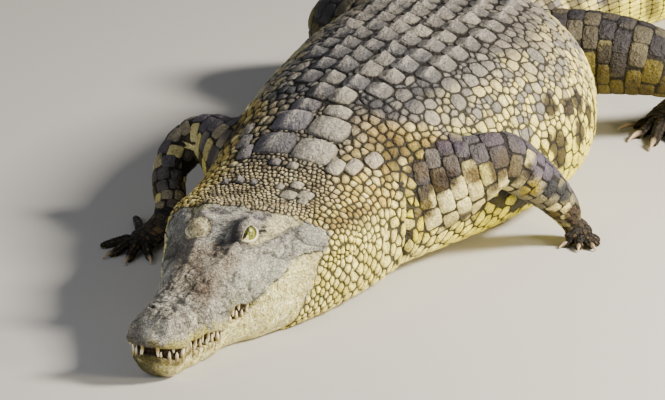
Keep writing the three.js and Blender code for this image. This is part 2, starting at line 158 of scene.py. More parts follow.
def outline(s, v):
    """The body's section at station s: out from the middle and up from the floor, where v runs from 0
    at the back's middle through 0.5 at the widest level to 1 under the belly. Each half is a rounded
    square, and bony hills and the flat skull table are added to the upper one."""
    cap = snout_cap(s, SNOUT_ROUND)
    half, level, angle = half_width(s) * cap, wide_level(s), v * np.pi
    upper = v <= 0.5
    power = 2 / np.where(upper, upper_squareness(s), lower_squareness(s))
    sine, cosine = np.sin(angle).clip(0) ** power, np.abs(np.cos(angle)) ** power
    x = np.where(upper, half, np.maximum(0, half - jaw_inset(s) * cap)) * sine
    roof = level + (top_height(s) - level) * snout_cap(s, ROOF_ROUND) ** 0.8 * cosine
    edge = table_half_width(s)
    table = ramp(s, 350, 398) * fall(s, 516, 552) * fall(x, edge - 6, edge + 26)
    roof = mix(roof, np.maximum(roof, TABLE_HEIGHT - (x / 84) ** 2 * 6), table)
    for hill_s, hill_x, radius, height in HILLS:
        roof = roof + height * hill(np.hypot(s - hill_s, x - hill_x), radius) * cosine**0.5
    low = np.maximum(0, level - (level - underside(s)) * cosine)
    return x, np.where(upper, roof, low)


# The spine's heading at each station, in degrees from +Y towards +X.
heading = profile(
    (0, -1), (450, 0), (650, 0), (850, 3), (1050, 7), (1300, 3), (1500, -12), (1780, -17), (2050, -10),
    (2450, 6), (2900, 20), (3400, 26), (4000, 10),
)
SPINE_STEP = 10
spine_s = np.arange(0, LENGTH + SPINE_STEP, SPINE_STEP)
turned = np.radians(heading(spine_s[:-1] + SPINE_STEP / 2))
spine_x = np.concatenate([[0], np.cumsum(SPINE_STEP * np.sin(turned))])
spine_y = np.concatenate([[0], np.cumsum(SPINE_STEP * np.cos(turned))])


def place(s, out, up):
    """The point that lies `out` to the left of the spine at station s, `up` from the floor."""
    a = np.radians(heading(s))
    x = np.interp(s, spine_s, spine_x) + out * np.cos(a)
    y = np.interp(s, spine_s, spine_y) - out * np.sin(a)
    return np.stack(np.broadcast_arrays(x, y, up), -1)


# How deep the skin lies under the outline, so that the scales' crowns reach it.
back_depth = profile((0, 0.4), (560, 0.6), (640, 5), (900, 8), (1900, 8), (2450, 6), (3400, 4), (4000, 1.5))


def body_point(s, v, side):
    """A point of the bare skin: the outline drawn in towards the widest level by the scales' depth."""
    x, z = outline(s, v)
    level = wide_level(s)
    reach = np.maximum(np.hypot(x, z - level), 1)
    depth = back_depth(s) * mix(1, 0.4, ramp(v, 0.25, 0.55))
    scale = 1 - np.minimum(depth / reach, 0.5)
    return place(s, side * x * scale, level + (z - level) * scale)


def noise(points, size, seed):
    """Smooth random values from 0 to 1 in blobs of about `size`: random values on the corners of a
    cubic lattice, blended between them."""
    q = points / size + seed * 17.31
    base = np.floor(q).astype(np.int64)
    f = q - base
    f = f * f * (3 - 2 * f)
    total = 0
    for corner in np.ndindex(2, 2, 2):
        at = base + corner
        mixed = (at[..., 0] * 73856093) ^ (at[..., 1] * 19349663) ^ (at[..., 2] * 83492791)
        mixed = mixed ^ (seed * 2654435)
        mixed = (mixed ^ (mixed >> 13)) * 1274126177
        value = ((mixed ^ (mixed >> 16)) & 0xFFFF) / 0xFFFF
        weight = np.prod(np.where(corner, f, 1 - f), axis=-1)
        total = total + value * weight
    return total


def make_mesh(name, points, faces, smooth=True):
    """A mesh object at the origin from points in the animal's own axes; faces is a list of arrays, each
    holding faces of one size."""
    mesh = bpy.data.meshes.new(name)
    points = (np.reshape(points, (-1, 3)) + SNOUT_TIP) / 1000
    loops = np.concatenate([f.ravel() for f in faces]).astype(np.int32)
    sizes = np.concatenate([np.full(len(f), f.shape[1]) for f in faces])
    mesh.vertices.add(len(points))
    mesh.vertices.foreach_set("co", points.astype(np.float32).ravel())
    mesh.loops.add(len(loops))
    mesh.loops.foreach_set("vertex_index", loops)
    mesh.polygons.add(len(sizes))
    mesh.polygons.foreach_set("loop_start", np.concatenate([[0], np.cumsum(sizes)[:-1]]).astype(np.int32))
    mesh.polygons.foreach_set("use_smooth", np.full(len(sizes), smooth))
    mesh.update(calc_edges=True)
    mesh.validate()
    piece = bpy.data.objects.new(name, mesh)
    bpy.context.scene.collection.objects.link(piece)
    return piece


def grid_faces(rows, columns, first=0):
    """Quads between neighbouring rings of a tube, whose faces point out when its columns run from the
    back over the left side, for rings laid from snout to tail."""
    i, j = np.meshgrid(np.arange(rows - 1), np.arange(columns), indexing="ij")
    a, b = i * columns + j, i * columns + (j + 1) % columns
    return first + np.stack([a, b, b + columns, a + columns], -1).reshape(-1, 4)


def pole_faces(sides, first, pole):
    """Triangles from each side of the ring whose points begin at `first` to a pole."""
    j = np.arange(sides)
    return np.stack([first + j, first + (j + 1) % sides, np.full(sides, pole)], -1)


def ladder_faces(columns, first, flip):
    """A tube's end closed by rungs from each left point to its mirror on the right."""
    j = np.arange(columns // 2)
    rungs = np.stack([j, j + 1, (columns - j - 1) % columns, (columns - j) % columns], -1)
    ends = np.array([[0, 1, columns - 1], [columns // 2 - 1, columns // 2, columns // 2 + 1]])
    return [first + (part[:, ::-1] if flip else part) for part in (rungs[1:-1], ends)]


# ---------------------------------------------------------------- head, neck, trunk and tail skin
# The bare hide. On the head it is thin skin stretched over bone, with fine cracks, lips drawn over the
# tooth roots and a groove for the mouth; elsewhere it only shows dark between the scales.
HEAD_COLUMNS = 216  # points round a ring of the head; halved behind it, and again on the tail
LIP_END = 500  # the station where the groove between the lips has run out
# The teeth that show: station, how far in from the lip, length and radius.
UPPER_TEETH = (
    (4, 6, 19, 4.2), (20, 5, 9, 3.6), (37, 5, 8, 3.6), (54, 5, 12, 4), (71, 5, 10, 4), (107, 3, 19, 4),
    (123, 2.5, 15, 4), (139, 3, 19, 4.2), (155, 3, 13, 3.8), (171, 3, 9, 3.4), (238, 3, 19, 4.8),
    (256, 2.5, 13, 3.8), (282, 3, 12, 3.8),
)
LOWER_TEETH = (
    (9, 3, 13, 4), (19, 3, 19, 4.4), (31, 3, 16, 4.6), (44, 2, 20, 5), (58, 3, 16, 4.4), (80, 4, 20, 5),
    (99, 5, 14, 4.2), (115, 6, 14, 4.2), (131, 6, 18, 4.6), (148, 6, 12, 4), (166, 5, 18, 4.8),
    (184, 4, 20, 6),
    (246, 7, 13, 4.6), (264, 7, 18, 5.2), (280, 7, 14, 4.8), (294, 7, 8, 4),
)


def ring_places(stations, columns):
    """How far round, as v, each point of half a ring lies: equal steps of arc length, with smaller
    steps on the upper head and smaller still across the lips."""
    v = np.linspace(0, 1, 601)[None]
    s = stations[:, None]
    x, z = outline(s, v)
    middle = (v[:, 1:] + v[:, :-1]) / 2
    lip = lip_level(s) - mouth_gap(s) / 2
    at_lip = hill((z[:, 1:] + z[:, :-1]) / 2 - lip, mouth_gap(s) / 2 + 5) * fall(s, 480, 540)
    weight = 1 + fall(s, 500, 700) * (middle < 0.5) + 2.4 * at_lip
    length = np.cumsum(np.hypot(np.diff(x), np.diff(z)) * weight, axis=1)
    length = np.concatenate([np.zeros((len(stations), 1)), length], 1)
    part = np.linspace(0, 1, columns // 2 + 1)
    return np.stack([np.interp(part * row[-1], row, v[0]) for row in length])


groove_depth = profile(
    (0, 18), (90, 18), (112, 24), (185, 22), (210, 12), (232, 22), (300, 18), (322, 7), (470, 5), (LIP_END, 0)
)


def mouth_groove(s, v, z):
    """How far the skin turns in between the lips, in mm: the groove's depth, with a step at each lip."""
    level, gap = lip_level(s), np.maximum(mouth_gap(s), 3.4)
    inside = ramp(z, level - gap - 1.5, level - gap + 1.5) * fall(z, level - 1, level + 0.8)
    return groove_depth(s) * inside * (v > 0.25)


head_end = profile(  # the station where the scales begin, by how far round
    (0, 489), (0.1, 482), (0.17, 502), (0.24, 514), (0.35, 526), (0.42, 512), (0.46, 490), (0.5, 472),
    (0.55, 448), (0.62, 426), (1, 418),
)
jaw_muscle = profile((380, 80), (412, 92), (436, 104), (469, 113), (500, 130))  # its upper edge, outwards


def ear_slit(s, x):
    """How near a point is to the middle of the ear's slit, 1 being the slit's edge."""
    along_it, across_it = (s - 414) * 0.88 + (x - 76) * 0.47, (x - 76) * 0.88 - (s - 414) * 0.47
    return np.hypot(along_it / 12, across_it / 5.4)


def creases(p):
    """How deep each point of the head lies in the hide's cracks, from 0 to 1 in the middle of one."""
    bent = p + 9 * np.stack([noise(p, 30, 31), noise(p, 30, 32), noise(p, 30, 33)], -1)
    deepest = 0
    for size, wide, share in ((40, 0.085, 1.0), (21, 0.12, 0.75), (11, 0.2, 0.5)):
        level = np.abs(noise(bent, size, 3) - 0.5)
        deepest = np.maximum(deepest, share * fall(level, 0, wide))
    return deepest * ramp(noise(p, 60, 34), 0.25, 0.55) * ramp(p[..., 1], 5, 60)


def head_relief(s, x, z, v, p):
    """How far the head's skin stands out from the plain outline: ridges in front of the eyes, a hollow
    between them, swellings at the tooth roots, nostrils, ear slits and fine cracks."""
    upper = v < 0.4
    out = 4 * hill(x - mix(32, 42, ramp(s, 240, 335)), 9) * ramp(s, 225, 275) * fall(s, 325, 352)
    out -= 7 * hill(np.hypot(s - 375, x * 1.1), 30) * upper
    out -= 3.5 * hill(np.hypot(s - 448, x - 38), 22) * upper
    for tooth_s, _, length, _ in UPPER_TEETH:
        above = z - lip_level(s)
        out += 0.16 * length * hill(s - tooth_s, 7) * ramp(above, 0, 8) * fall(above, 14, 40)
    for tooth_s, _, length, _ in LOWER_TEETH:
        below = lip_level(s) - mouth_gap(s) - z
        out += 2.2 * hill(s - tooth_s, 7) * ramp(below, 0, 5) * fall(below, 10, 28)
    out += 4 * hill(np.hypot(s - 48, x - 14), 17) * upper
    nostril = np.hypot((s - 47 - 0.012 * (x - 4) ** 2) / 3.2, (x - 15) / 10)
    out -= 9 * fall(nostril, 0.3, 1.2) * upper
    out -= 9 * fall(ear_slit(s, x), 0.4, 1.3) * upper
    fold = x - jaw_muscle(s)
    cheek = ramp(s, 378, 400) * fall(s, 486, 512) * (v < 0.45)
    out += cheek * (4 * ramp(fold, -2, 14) * fall(fold, 20, 70) - 3 * hill(fold, 4.5))
    lip_fold = z - lip_level(s)
    out += 2 * hill(lip_fold - 7, 6) * (s < 490) + 1.6 * hill(lip_fold + mouth_gap(s) + 7, 6) * (s < 490)
    cracks = -4.6 * creases(p)
    lumps = 5.0 * (noise(p, 26, 8) - 0.5) + 3.6 * (noise(p, 12, 5) - 0.5) + 2.2 * (noise(p, 6.5, 6) - 0.5)
    lumps = lumps * mix(1, 0.45, ramp(v, 0.42, 0.5))
    cracks = cracks * mix(1, 0.3, ramp(v, 0.42, 0.5))
    edge = head_end(v)
    return (out + (cracks + lumps) * ramp(s, 0, 12)) * fall(s, edge - 8, edge + 14)


def grid_normals(p):
    """Unit normals of a closed tube's grid of points, from the differences between neighbours."""
    round_it = np.roll(p, -1, 1) - np.roll(p, 1, 1)
    normal = np.cross(np.gradient(p, axis=0), round_it)
    return -normal / np.maximum(np.linalg.norm(normal, axis=-1, keepdims=True), 1e-9)


def eye_frame(side):
    """The eyeball's centre and its axes: outwards through the pupil, forwards along the lids' slit,
    whose front corner is the lower, and up across it."""
    centre = place(EYE["s"], side * EYE["x"], EYE["z"]) + (RIGHT_EYE_SHIFT if side < 0 else 0)
    out = np.array([0.86, -0.38, 0.36]) if side > 0 else np.array([-0.93, -0.2, 0.3])
    out /= np.linalg.norm(out)
    slit = np.array([-0.39 * side, -0.72, -0.42])
    slit -= out * (slit @ out)
    slit /= np.linalg.norm(slit)
    up = np.cross(slit, out) * side
    return centre, out, slit, up


LID_LENGTH = 22.3  # half the slit between the lids
LID_POINT = 1.35  # how sharply the slit's front corner closes
LID_HEIGHT = {1: 14.8, -1: 8}  # the left eye is wide open, the right half shut
LID_THICK = 3.4
LID_CREASE = {1: (37, 4.5), -1: (33, 6)}  # how far from the eyeball's middle, and how deep


def open_lids(p):
    """Skin swollen over each eyeball and creased round it, and turned in at the lids' slit."""
    for side in (1, -1):
        centre, out, slit, up = eye_frame(side)
        q = p - centre
        far = np.maximum(np.linalg.norm(q, axis=-1), 1e-6)
        u = q / far[..., None]
        m, k = (u @ slit) * EYE["r"], (u @ up) * EYE["r"]
        blunt = np.hypot(m / LID_LENGTH, k / LID_HEIGHT[side])
        sharp = ((m / LID_LENGTH) ** 2 + np.abs(k / LID_HEIGHT[side]) ** LID_POINT) ** (1 / LID_POINT)
        rho = np.where(u @ out > 0, np.where(m > 0, sharp, blunt), 3)
        fold = 1.4 * np.sin((rho - 1) * 15) * ramp(rho, 1.05, 1.2) * fall(rho, 1.6, 2.1)
        thick = EYE["r"] + LID_THICK + fold + 1.2 * ramp(k, 0, 12)
        if side < 0:
            thick = thick - 1.5 + 1.3 * np.sin(m * 0.8)
        share = np.clip(0.5 + (thick - far) / 14, 0, 1)
        lid = mix(far, thick, share) + 6 * share * (1 - share)
        crease_at, crease_deep = LID_CREASE[side]
        lid = lid - crease_deep * hill(far - crease_at, 5) * ramp(q[..., 2], -30, -6)
        lid = mix(lid, far, ramp(far, 44, 60))
        lid = mix(EYE["r"] * 0.45, lid, ramp(rho, 0.9, 1.0))
        p = np.where((far < 60)[..., None], centre + u * lid[..., None], p)
    return p


# Loose folds of the neck in front of the shoulder: station by how far round, ends, and depth.
FOLDS = (
    (profile((0.25, 915), (0.303, 898), (0.407, 841), (0.557, 814)), 0.24, 0.7, 9),
    (profile((0.3, 860), (0.367, 814), (0.5, 736), (0.6, 722)), 0.3, 0.66, 6),
    (profile((0.28, 960), (0.333, 937), (0.507, 880), (0.6, 872)), 0.26, 0.62, 8),
    (profile((0.4, 640), (0.5, 600), (0.7, 590)), 0.4, 0.8, 4),
)


def neck_folds(s, v):
    """How far the hide stands out, in mm, for its loose folds."""
    total = 0
    for middle, start, end, depth in FOLDS:
        here = ramp(v, start, start + 0.07) * fall(v, end - 0.1, end)
        off = s - middle(v)
        total = total + here * depth * (0.6 * hill(off - 24, 17) + 0.6 * hill(off + 24, 17) - hill(off, 10))
    return total


head_stations = np.concatenate([
    [0.4, 1.2, 2.4, 4, 6, 8.4, 11, 14, 17], np.arange(20, 640, 2.8)
])
trunk_stations = np.concatenate([np.arange(650, 1000, 7), np.arange(1007, 2450, 14)])
tail_stations = np.concatenate([np.arange(2464, 3985, 14), [3992, 3997, 3999.5]])
body_points, body_faces = [], []
first = 0
for stations, columns in (
    (head_stations, HEAD_COLUMNS), (trunk_stations, HEAD_COLUMNS // 2), (tail_stations, HEAD_COLUMNS // 4)
):
    v = ring_places(stations, columns)
    s = np.broadcast_to(stations[:, None], v.shape)
    x, z = outline(s, v)
    groove = mouth_groove(s, v, z)
    cap = snout_cap(s, SNOUT_ROUND)
    half_ring = body_point(s, v, 1)
    backwards = place(s + groove * (1 - cap), 0, 0) - place(s, 0, 0)
    inward = backwards + np.stack([-groove * cap, 0 * s, 0 * s], -1)
    left = half_ring + inward
    right = body_point(s, v, -1) + inward * (-1, 1, 1)
    ring = np.concatenate([left, right[:, -2:0:-1]], 1)
    v_all, x_all, z_all = (np.concatenate([half, half[:, -2:0:-1]], 1) for half in (v, x, z))
    s_all = np.broadcast_to(stations[:, None], v_all.shape)
    if stations is head_stations:
        relief = head_relief(s_all, x_all, z_all, v_all, ring)
        ring = ring + grid_normals(ring) * relief[..., None]
        ring = open_lids(ring)
    ring = ring + grid_normals(ring) * neck_folds(s_all, v_all)[..., None]
    ring[..., 2] = np.maximum(ring[..., 2], FLOOR_CLEARANCE)
    if first:
        # The ring before this section has twice its points: each quad there becomes three triangles.
        k = np.arange(columns)
        a = first - 2 * columns + 2 * k
        b, c = a + 1, first - 2 * columns + (2 * k + 2) % (2 * columns)
        d, e = first + k, first + (k + 1) % columns
        body_faces += [np.stack(f, -1) for f in ([a, b, d], [b, e, d], [b, c, e])]
    else:
        body_faces += ladder_faces(columns, 0, True)
    body_faces.append(grid_faces(len(stations), columns, first))
    body_points.append(ring.reshape(-1, 3))
    first += len(stations) * columns
body_faces += ladder_faces(columns, first - columns, False)
skin = make_mesh("skin", np.concatenate(body_points), body_faces)


# ---------------------------------------------------------------- limbs, feet and webs
# Short legs of loose hide over muscle, folded as the animal lies, with splayed toes; the hind feet are
# webbed. Curves give x, y, z, half width and half height; toes give the tip's x, y and the radius.
LIMBS = (
    {
        "name": "left_fore", "claws": (2, 3, 4), "claw_length": 18, "webbed": False,
        "curve": (
            (110, 905, 170, 112, 122), (215, 935, 182, 88, 112), (300, 985, 210, 66, 88),
            (358, 1042, 230, 55, 66), (396, 1100, 190, 51, 57), (428, 1160, 134, 45, 46),
            (447, 1200, 86, 42, 37), (458, 1214, 56, 41, 29), (470, 1218, 34, 41, 21),
            (484, 1212, 17, 38, 18),
        ),
        "toes": ((518, 1240, 12), (528, 1212, 13), (522, 1186, 13), (498, 1170, 13), (464, 1176, 12)),
    },
    {
        "name": "right_fore", "claws": (2, 3, 4), "claw_length": 26, "webbed": False,
        "curve": (
            (-110, 890, 165, 112, 120), (-205, 925, 178, 86, 104), (-266, 962, 194, 64, 80),
            (-316, 994, 202, 48, 60), (-366, 1002, 188, 46, 52), (-394, 970, 154, 42, 46),
            (-392, 930, 114, 38, 40), (-372, 898, 80, 36, 34), (-362, 864, 53, 38, 28),
            (-374, 828, 32, 46, 20), (-394, 798, 17, 50, 18),
        ),
        "toes": ((-490, 962, 12), (-474, 753, 13), (-428, 706, 13), (-379, 690, 13), (-339, 716, 12)),
    },
    {
        "name": "left_hind", "claws": (0, 1, 2), "claw_length": 40, "webbed": True,
        "curve": (
            (20, 1890, 180, 108, 112), (140, 1930, 196, 98, 104), (240, 1958, 200, 88, 96),
            (325, 1975, 192, 76, 86), (388, 1998, 172, 62, 72), (424, 2044, 140, 54, 58),
            (436, 2100, 106, 46, 46), (424, 2156, 74, 40, 38), (386, 2180, 50, 36, 31),
            (354, 2154, 35, 38, 25), (346, 2112, 25, 46, 20), (350, 2070, 17, 54, 18),
        ),
        "toes": ((288, 2030, 15), (322, 1968, 16), (376, 1926, 17), (430, 1950, 15)),
    },
    {
        "name": "right_hind", "claws": (0, 1, 2), "claw_length": 40, "webbed": True,
        "curve": (
            (-120, 1850, 180, 108, 112), (-250, 1880, 190, 98, 104), (-360, 1915, 188, 88, 96),
            (-436, 1968, 174, 74, 84), (-470, 2034, 150, 62, 70), (-468, 2104, 118, 52, 55),
            (-440, 2170, 84, 44, 43), (-410, 2222, 56, 40, 33), (-404, 2270, 36, 42, 26),
            (-412, 2312, 26, 48, 21), (-424, 2346, 17, 54, 18),
        ),
        "toes": ((-396, 2462, 15), (-458, 2470, 16), (-516, 2438, 17), (-540, 2376, 15)),
    },
)
FLESH_SUNK, TOE_SUNK = 2.5, 0.8  # how deep the skin lies under the limbs' and toes' outlines


def along(rows, t):
    """Catmull-Rom values along a table's rows, at places t counted in rows."""
    rows = np.array(rows, float)
    t = np.clip(t, 0, len(rows) - 1 - 1e-9)
    i = t.astype(int)
    f = (t - i)[:, None]
    a, b, c, d = (rows[np.clip(i + k, 0, len(rows) - 1)] for k in (-1, 0, 1, 2))
    return ((-a + 3 * b - 3 * c + d) * f**3 + (2 * a - 5 * b + 4 * c - d) * f**2 + (c - a) * f + 2 * b) / 2


def limb_axes(rows, t):
    """A limb's centre, half width and height, and its axes: along it, across it and over it."""
    here = along(rows, t)
    run = along(rows, t + 0.05)[:, :3] - along(rows, t - 0.05)[:, :3]
    run /= np.linalg.norm(run, axis=1, keepdims=True)
    across = np.cross(run, (0, 0, 1))
    across /= np.linalg.norm(across, axis=1, keepdims=True)
    return here[:, :3], here[:, 3], here[:, 4], run, across, np.cross(across, run)


def limb_point(rows, t, angle, sunk=0.0):
    """Points of a limb's surface at places t and angles round it, 0 being across and a quarter over."""
    centre, wide, high, _, across, over = limb_axes(rows, t)
    wide, high = np.maximum(wide - sunk, 2), np.maximum(high - sunk, 2)
    p = centre + across * (np.cos(angle) * wide)[:, None] + over * (np.sin(angle) * high)[:, None]
    return p


def tube(rows, sides, places, sunk=0.0, bulge=None):
    """Points and faces of a closed tube of rings along a table's curve, with a pole at each end."""
    t, angle = np.meshgrid(places, np.arange(sides) / sides * 2 * np.pi, indexing="ij")
    ring = limb_point(rows, t.ravel(), angle.ravel(), sunk).reshape(len(places), sides, 3)
    centre, wide, high, run, _, _ = limb_axes(rows, places)
    if bulge is not None:
        ring = centre[:, None] + (ring - centre[:, None]) * bulge[:, None, None]
    reach = np.minimum(wide, high)[-1]
    rounding = ((0.25, 0.93), (0.45, 0.72))  # how far past the last ring, and how large
    ends = [centre[-1] + run[-1] * reach * f + (ring[-1] - centre[-1]) * g for f, g in rounding]
    ring = np.concatenate([ring, np.stack(ends)])
    poles = np.stack([centre[0] - run[0] * 2, centre[-1] + run[-1] * reach * 0.55])
    p = np.concatenate([ring.reshape(-1, 3), poles])
    p[:, 2] = np.maximum(p[:, 2], FLOOR_CLEARANCE)
    start = pole_faces(sides, 0, len(p) - 2)
    finish = pole_faces(sides, (len(ring) - 1) * sides, len(p) - 1)[:, [1, 0, 2]]
    return p, [grid_faces(len(ring), sides)[:, ::-1], start, finish]


def toe_rows(limb, toe):
    """The curve of a toe, from inside the palm to its tip."""
    end = np.array(limb["curve"][-1][:2], float)
    tip, size = np.array(toe[:2], float), toe[2]
    knuckle = mix(end, tip, 0.22)
    steps = ((-0.25, 0.78, 0.9), (0.15, 1.4, 1), (0.55, 1.05, 0.86), (0.85, 0.6, 0.74), (1, 0.42, 0.5))
    return [(*mix(knuckle, tip, f), up * size, w * size, w * size * 0.92) for f, up, w in steps]


flesh = []
for limb in LIMBS:
    rows = limb["curve"]
    length = np.linalg.norm(np.diff(np.array(rows)[:, :3], axis=0), axis=1).sum()
    places = np.linspace(0, len(rows) - 1, int(length / 9))
    flesh.append(make_mesh(limb["name"], *tube(rows, 36, places, FLESH_SUNK)))
    mids = []
    for toe in limb["toes"]:
        t = np.linspace(0, 4, 15)
        joints = 1 + 0.1 * (hill(t - 1.2, 0.35) + hill(t - 2.3, 0.35) + hill(t - 3.2, 0.3)) - 0.05
        flesh.append(make_mesh(limb["name"] + "_toe", *tube(toe_rows(limb, toe), 14, t, TOE_SUNK, joints)))
        tip, end = np.array(toe[:2]), np.array(rows[-1][:2])
        mids.append(np.array([mix(end, tip, 0.18), mix(end, tip, 0.68)]))
    for near, far in zip(mids[:-1], mids[1:]):
        if limb["webbed"]:
            # A thin fold of skin, hollowed along its free edge.
            f = np.linspace(0, 1, 9)
            web = []
            for k in f:
                inner, outer = mix(near, far, k)
                outer = mix(outer, inner, 0.45 * np.sin(k * np.pi))
                web.append((*(inner + outer) / 2, 5.5, np.linalg.norm(outer - inner) / 2, 3))
            flesh.append(make_mesh(limb["name"] + "_web", *tube(web, 16, np.linspace(0, 8, 13))))

# One hide: the limbs, toes and webs joined to the body, then drawn into smooth folds where they meet.
pieces = bpy.data.collections.new("flesh")
for number, piece in enumerate([skin] + flesh):
    mark = piece.data.attributes.new("part", "INT", "FACE")
    mark.data.foreach_set("value", np.full(len(piece.data.polygons), number, np.int32))
    if number:
        pieces.objects.link(piece)
union = skin.modifiers.new("union", "BOOLEAN")
union.operation = "UNION"
union.solver = "MANIFOLD"
union.operand_type = "COLLECTION"
union.collection = pieces
joined = bpy.data.meshes.new_from_object(skin.evaluated_get(bpy.context.evaluated_depsgraph_get()))
for piece in flesh:
    bpy.data.objects.remove(piece)
skin.modifiers.clear()
skin.data = joined


def read(mesh, kind, key, width, dtype=np.float32):
    """One value or vector per element of a mesh, as an array."""
    values = np.zeros(len(getattr(mesh, kind)) * width, dtype)
    getattr(mesh, kind).foreach_get(key, values)
    return values.reshape(-1, width) if width > 1 else values


def relax(points, edges, seam, reach, rounds):
    """Points near a seam drawn towards the mean of their neighbours, round by round, by a share that
    falls from 0.6 at the seam to nothing at `reach` along the edges."""
    ends = np.concatenate([edges, edges[:, ::-1]])
    gap = np.linalg.norm(points[ends[:, 0]] - points[ends[:, 1]], axis=1)
    away = np.where(seam, 0, 1e6)
    for _ in range(24):
        np.minimum.at(away, ends[:, 1], away[ends[:, 0]] + gap)
    pull = 0.6 * fall(away, reach * 0.2, reach)
    busy = ends[pull[ends[:, 0]] > 0]
    count = np.maximum(np.bincount(busy[:, 0], minlength=len(points)), 1)
    for _ in range(rounds):
        total = [np.bincount(busy[:, 0], points[busy[:, 1], k], len(points)) for k in range(3)]
        mean = np.stack(total, 1) / count[:, None]
        points = mix(points, np.where(pull[:, None] > 0, mean, points), pull[:, None])
    return points


skin_points = read(joined, "vertices", "co", 3).astype(float) * 1000 - SNOUT_TIP
edges = read(joined, "edges", "vertices", 2, np.int32)
corner_vertex = read(joined, "loops", "vertex_index", 1, np.int32)
face_part = read(joined.attributes["part"], "data", "value", 1, np.int32)
face_corners = read(joined, "polygons", "loop_total", 1, np.int32)
corner_part = np.repeat(face_part, face_corners)
lowest, highest = np.full(len(skin_points), 99), np.zeros(len(skin_points), int)
np.minimum.at(lowest, corner_vertex, corner_part)
np.maximum.at(highest, corner_vertex, corner_part)
LIMB_BLEND, TOE_BLEND = 55, 9  # how far from a join the hide is drawn smooth
skin_points = relax(skin_points, edges, (lowest == 0) & (highest > 0), LIMB_BLEND, 30)
skin_points = relax(skin_points, edges, (lowest > 0) & (highest > lowest), TOE_BLEND, 8)
skin_points[:, 2] = np.maximum(skin_points[:, 2], FLOOR_CLEARANCE)
joined.vertices.foreach_set("co", ((skin_points + SNOUT_TIP) / 1000).astype(np.float32).ravel())
joined.attributes.remove(joined.attributes["part"])
joined.update()
skin_normals = read(joined, "vertices", "normal", 3).astype(float)
skin_tree = BVHTree.FromPolygons(
    skin_points.tolist(), np.split(corner_vertex, np.cumsum(face_corners)[:-1])
)


# ---------------------------------------------------------------- the hide's markings, finish and painted shade
# Wet-mud greys over olive and cream: taupe back, cream-yellow flanks with dark blotches, a pale throat
# and jaw, dark-topped legs. Painted shade and painted light are laid among them, as noted where each
# is laid. Colours are painted on points, so that the skin and scales share them.
def colour(code):
    """Linear RGB from an sRGB hex code."""
    value = np.array([int(code[k:k + 2], 16) / 255 for k in (1, 3, 5)])
    return np.where(value <= 0.04045, value / 12.92, ((value + 0.055) / 1.055) ** 2.4)


def ground(code, p):
    """One colour at every point, to paint on."""
    return np.broadcast_to(colour(code), p.shape)


def paint(under, code, amount):
    """A colour laid over another, as thickly as the amount says."""
    return mix(under, colour(code), np.clip(amount, 0, 1)[..., None])


def station(p):
    """The station nearest to each point and how far out to the left of the spine the point lies."""
    s = np.interp(p[:, 1], spine_y, spine_s)
    for _ in range(5):
        a = np.radians(heading(s))
        dx = p[:, 0] - np.interp(s, spine_s, spine_x)
        dy = p[:, 1] - np.interp(s, spine_s, spine_y)
        s = np.clip(s + dx * np.sin(a) + dy * np.cos(a), 0, LENGTH)
    return s, dx * np.cos(a) - dy * np.sin(a)


def turn_of(s, out, up):
    """How far round the section a point lies: 0 at the back's middle, 0.5 widest, 1 under the belly."""
    level, half = wide_level(s), np.maximum(half_width(s), 1)
    rise = np.where(up > level, top_height(s) - level, level - underside(s))
    power = np.where(up > level, upper_squareness(s), lower_squareness(s)) / 2
    sine = (np.abs(out) / half).clip(0, 1.2) ** power
    cosine = (np.abs(up - level) / np.maximum(rise, 1)).clip(0, 1.2) ** power
    return np.arctan2(sine, np.where(up > level, cosine, -cosine)) / np.pi


# Dark blotches low on the left flank: station, how far round, half sizes.
BLOTCHES = (
    (1320, 0.487, 27, 0.05), (1318, 0.378, 24, 0.034), (1366, 0.408, 19, 0.032), (1405, 0.418, 18, 0.036),
    (1387, 0.485, 18, 0.032), (1288, 0.47, 11, 0.022), (1440, 0.47, 18, 0.034), (1180, 0.52, 14, 0.022),
)


# Single dark or pale tiles of the left foreleg: place, radius, colour.
ARM_MARKS = (
    (288, 942, 287, 21, "#4e4750"), (258, 947, 292, 22, "#5c5258"), (300, 913, 253, 19, "#56504a"),
    (300, 899, 224, 19, "#2c2118"), (251, 857, 192, 17, "#2a2224"), (243, 868, 243, 17, "#5b5040"),
    (215, 880, 275, 22, "#453a28"), (266, 868, 155, 16, "#4a3d22"),
    (342, 937, 226, 15, "#5a4a2c"), (363, 1010, 292, 22, "#544c52"), (303, 1010, 293, 20, "#5d5a66"),
    (429, 1054, 209, 17, "#261a10"), (440, 1085, 217, 22, "#5e5762"), (457, 1111, 158, 19, "#20242c"),
    (472, 1151, 138, 17, "#23262d"), (484, 1181, 78, 20, "#33261a"), (424, 1065, 163, 18, "#8a7c3c"),
    (434, 1155, 79, 20, "#4a3f1c"), (216, 783, 221, 15, "#26222a"), (295, 891, 165, 21, "#efe6b8"),
    (329, 923, 183, 21, "#e9dfae"), (271, 892, 114, 24, "#eee4b4"),
)


VIVID, DARKEST, GRIMED = 1.32, 0.004, 0.95  # away from grey, least of any colour, and grime over all


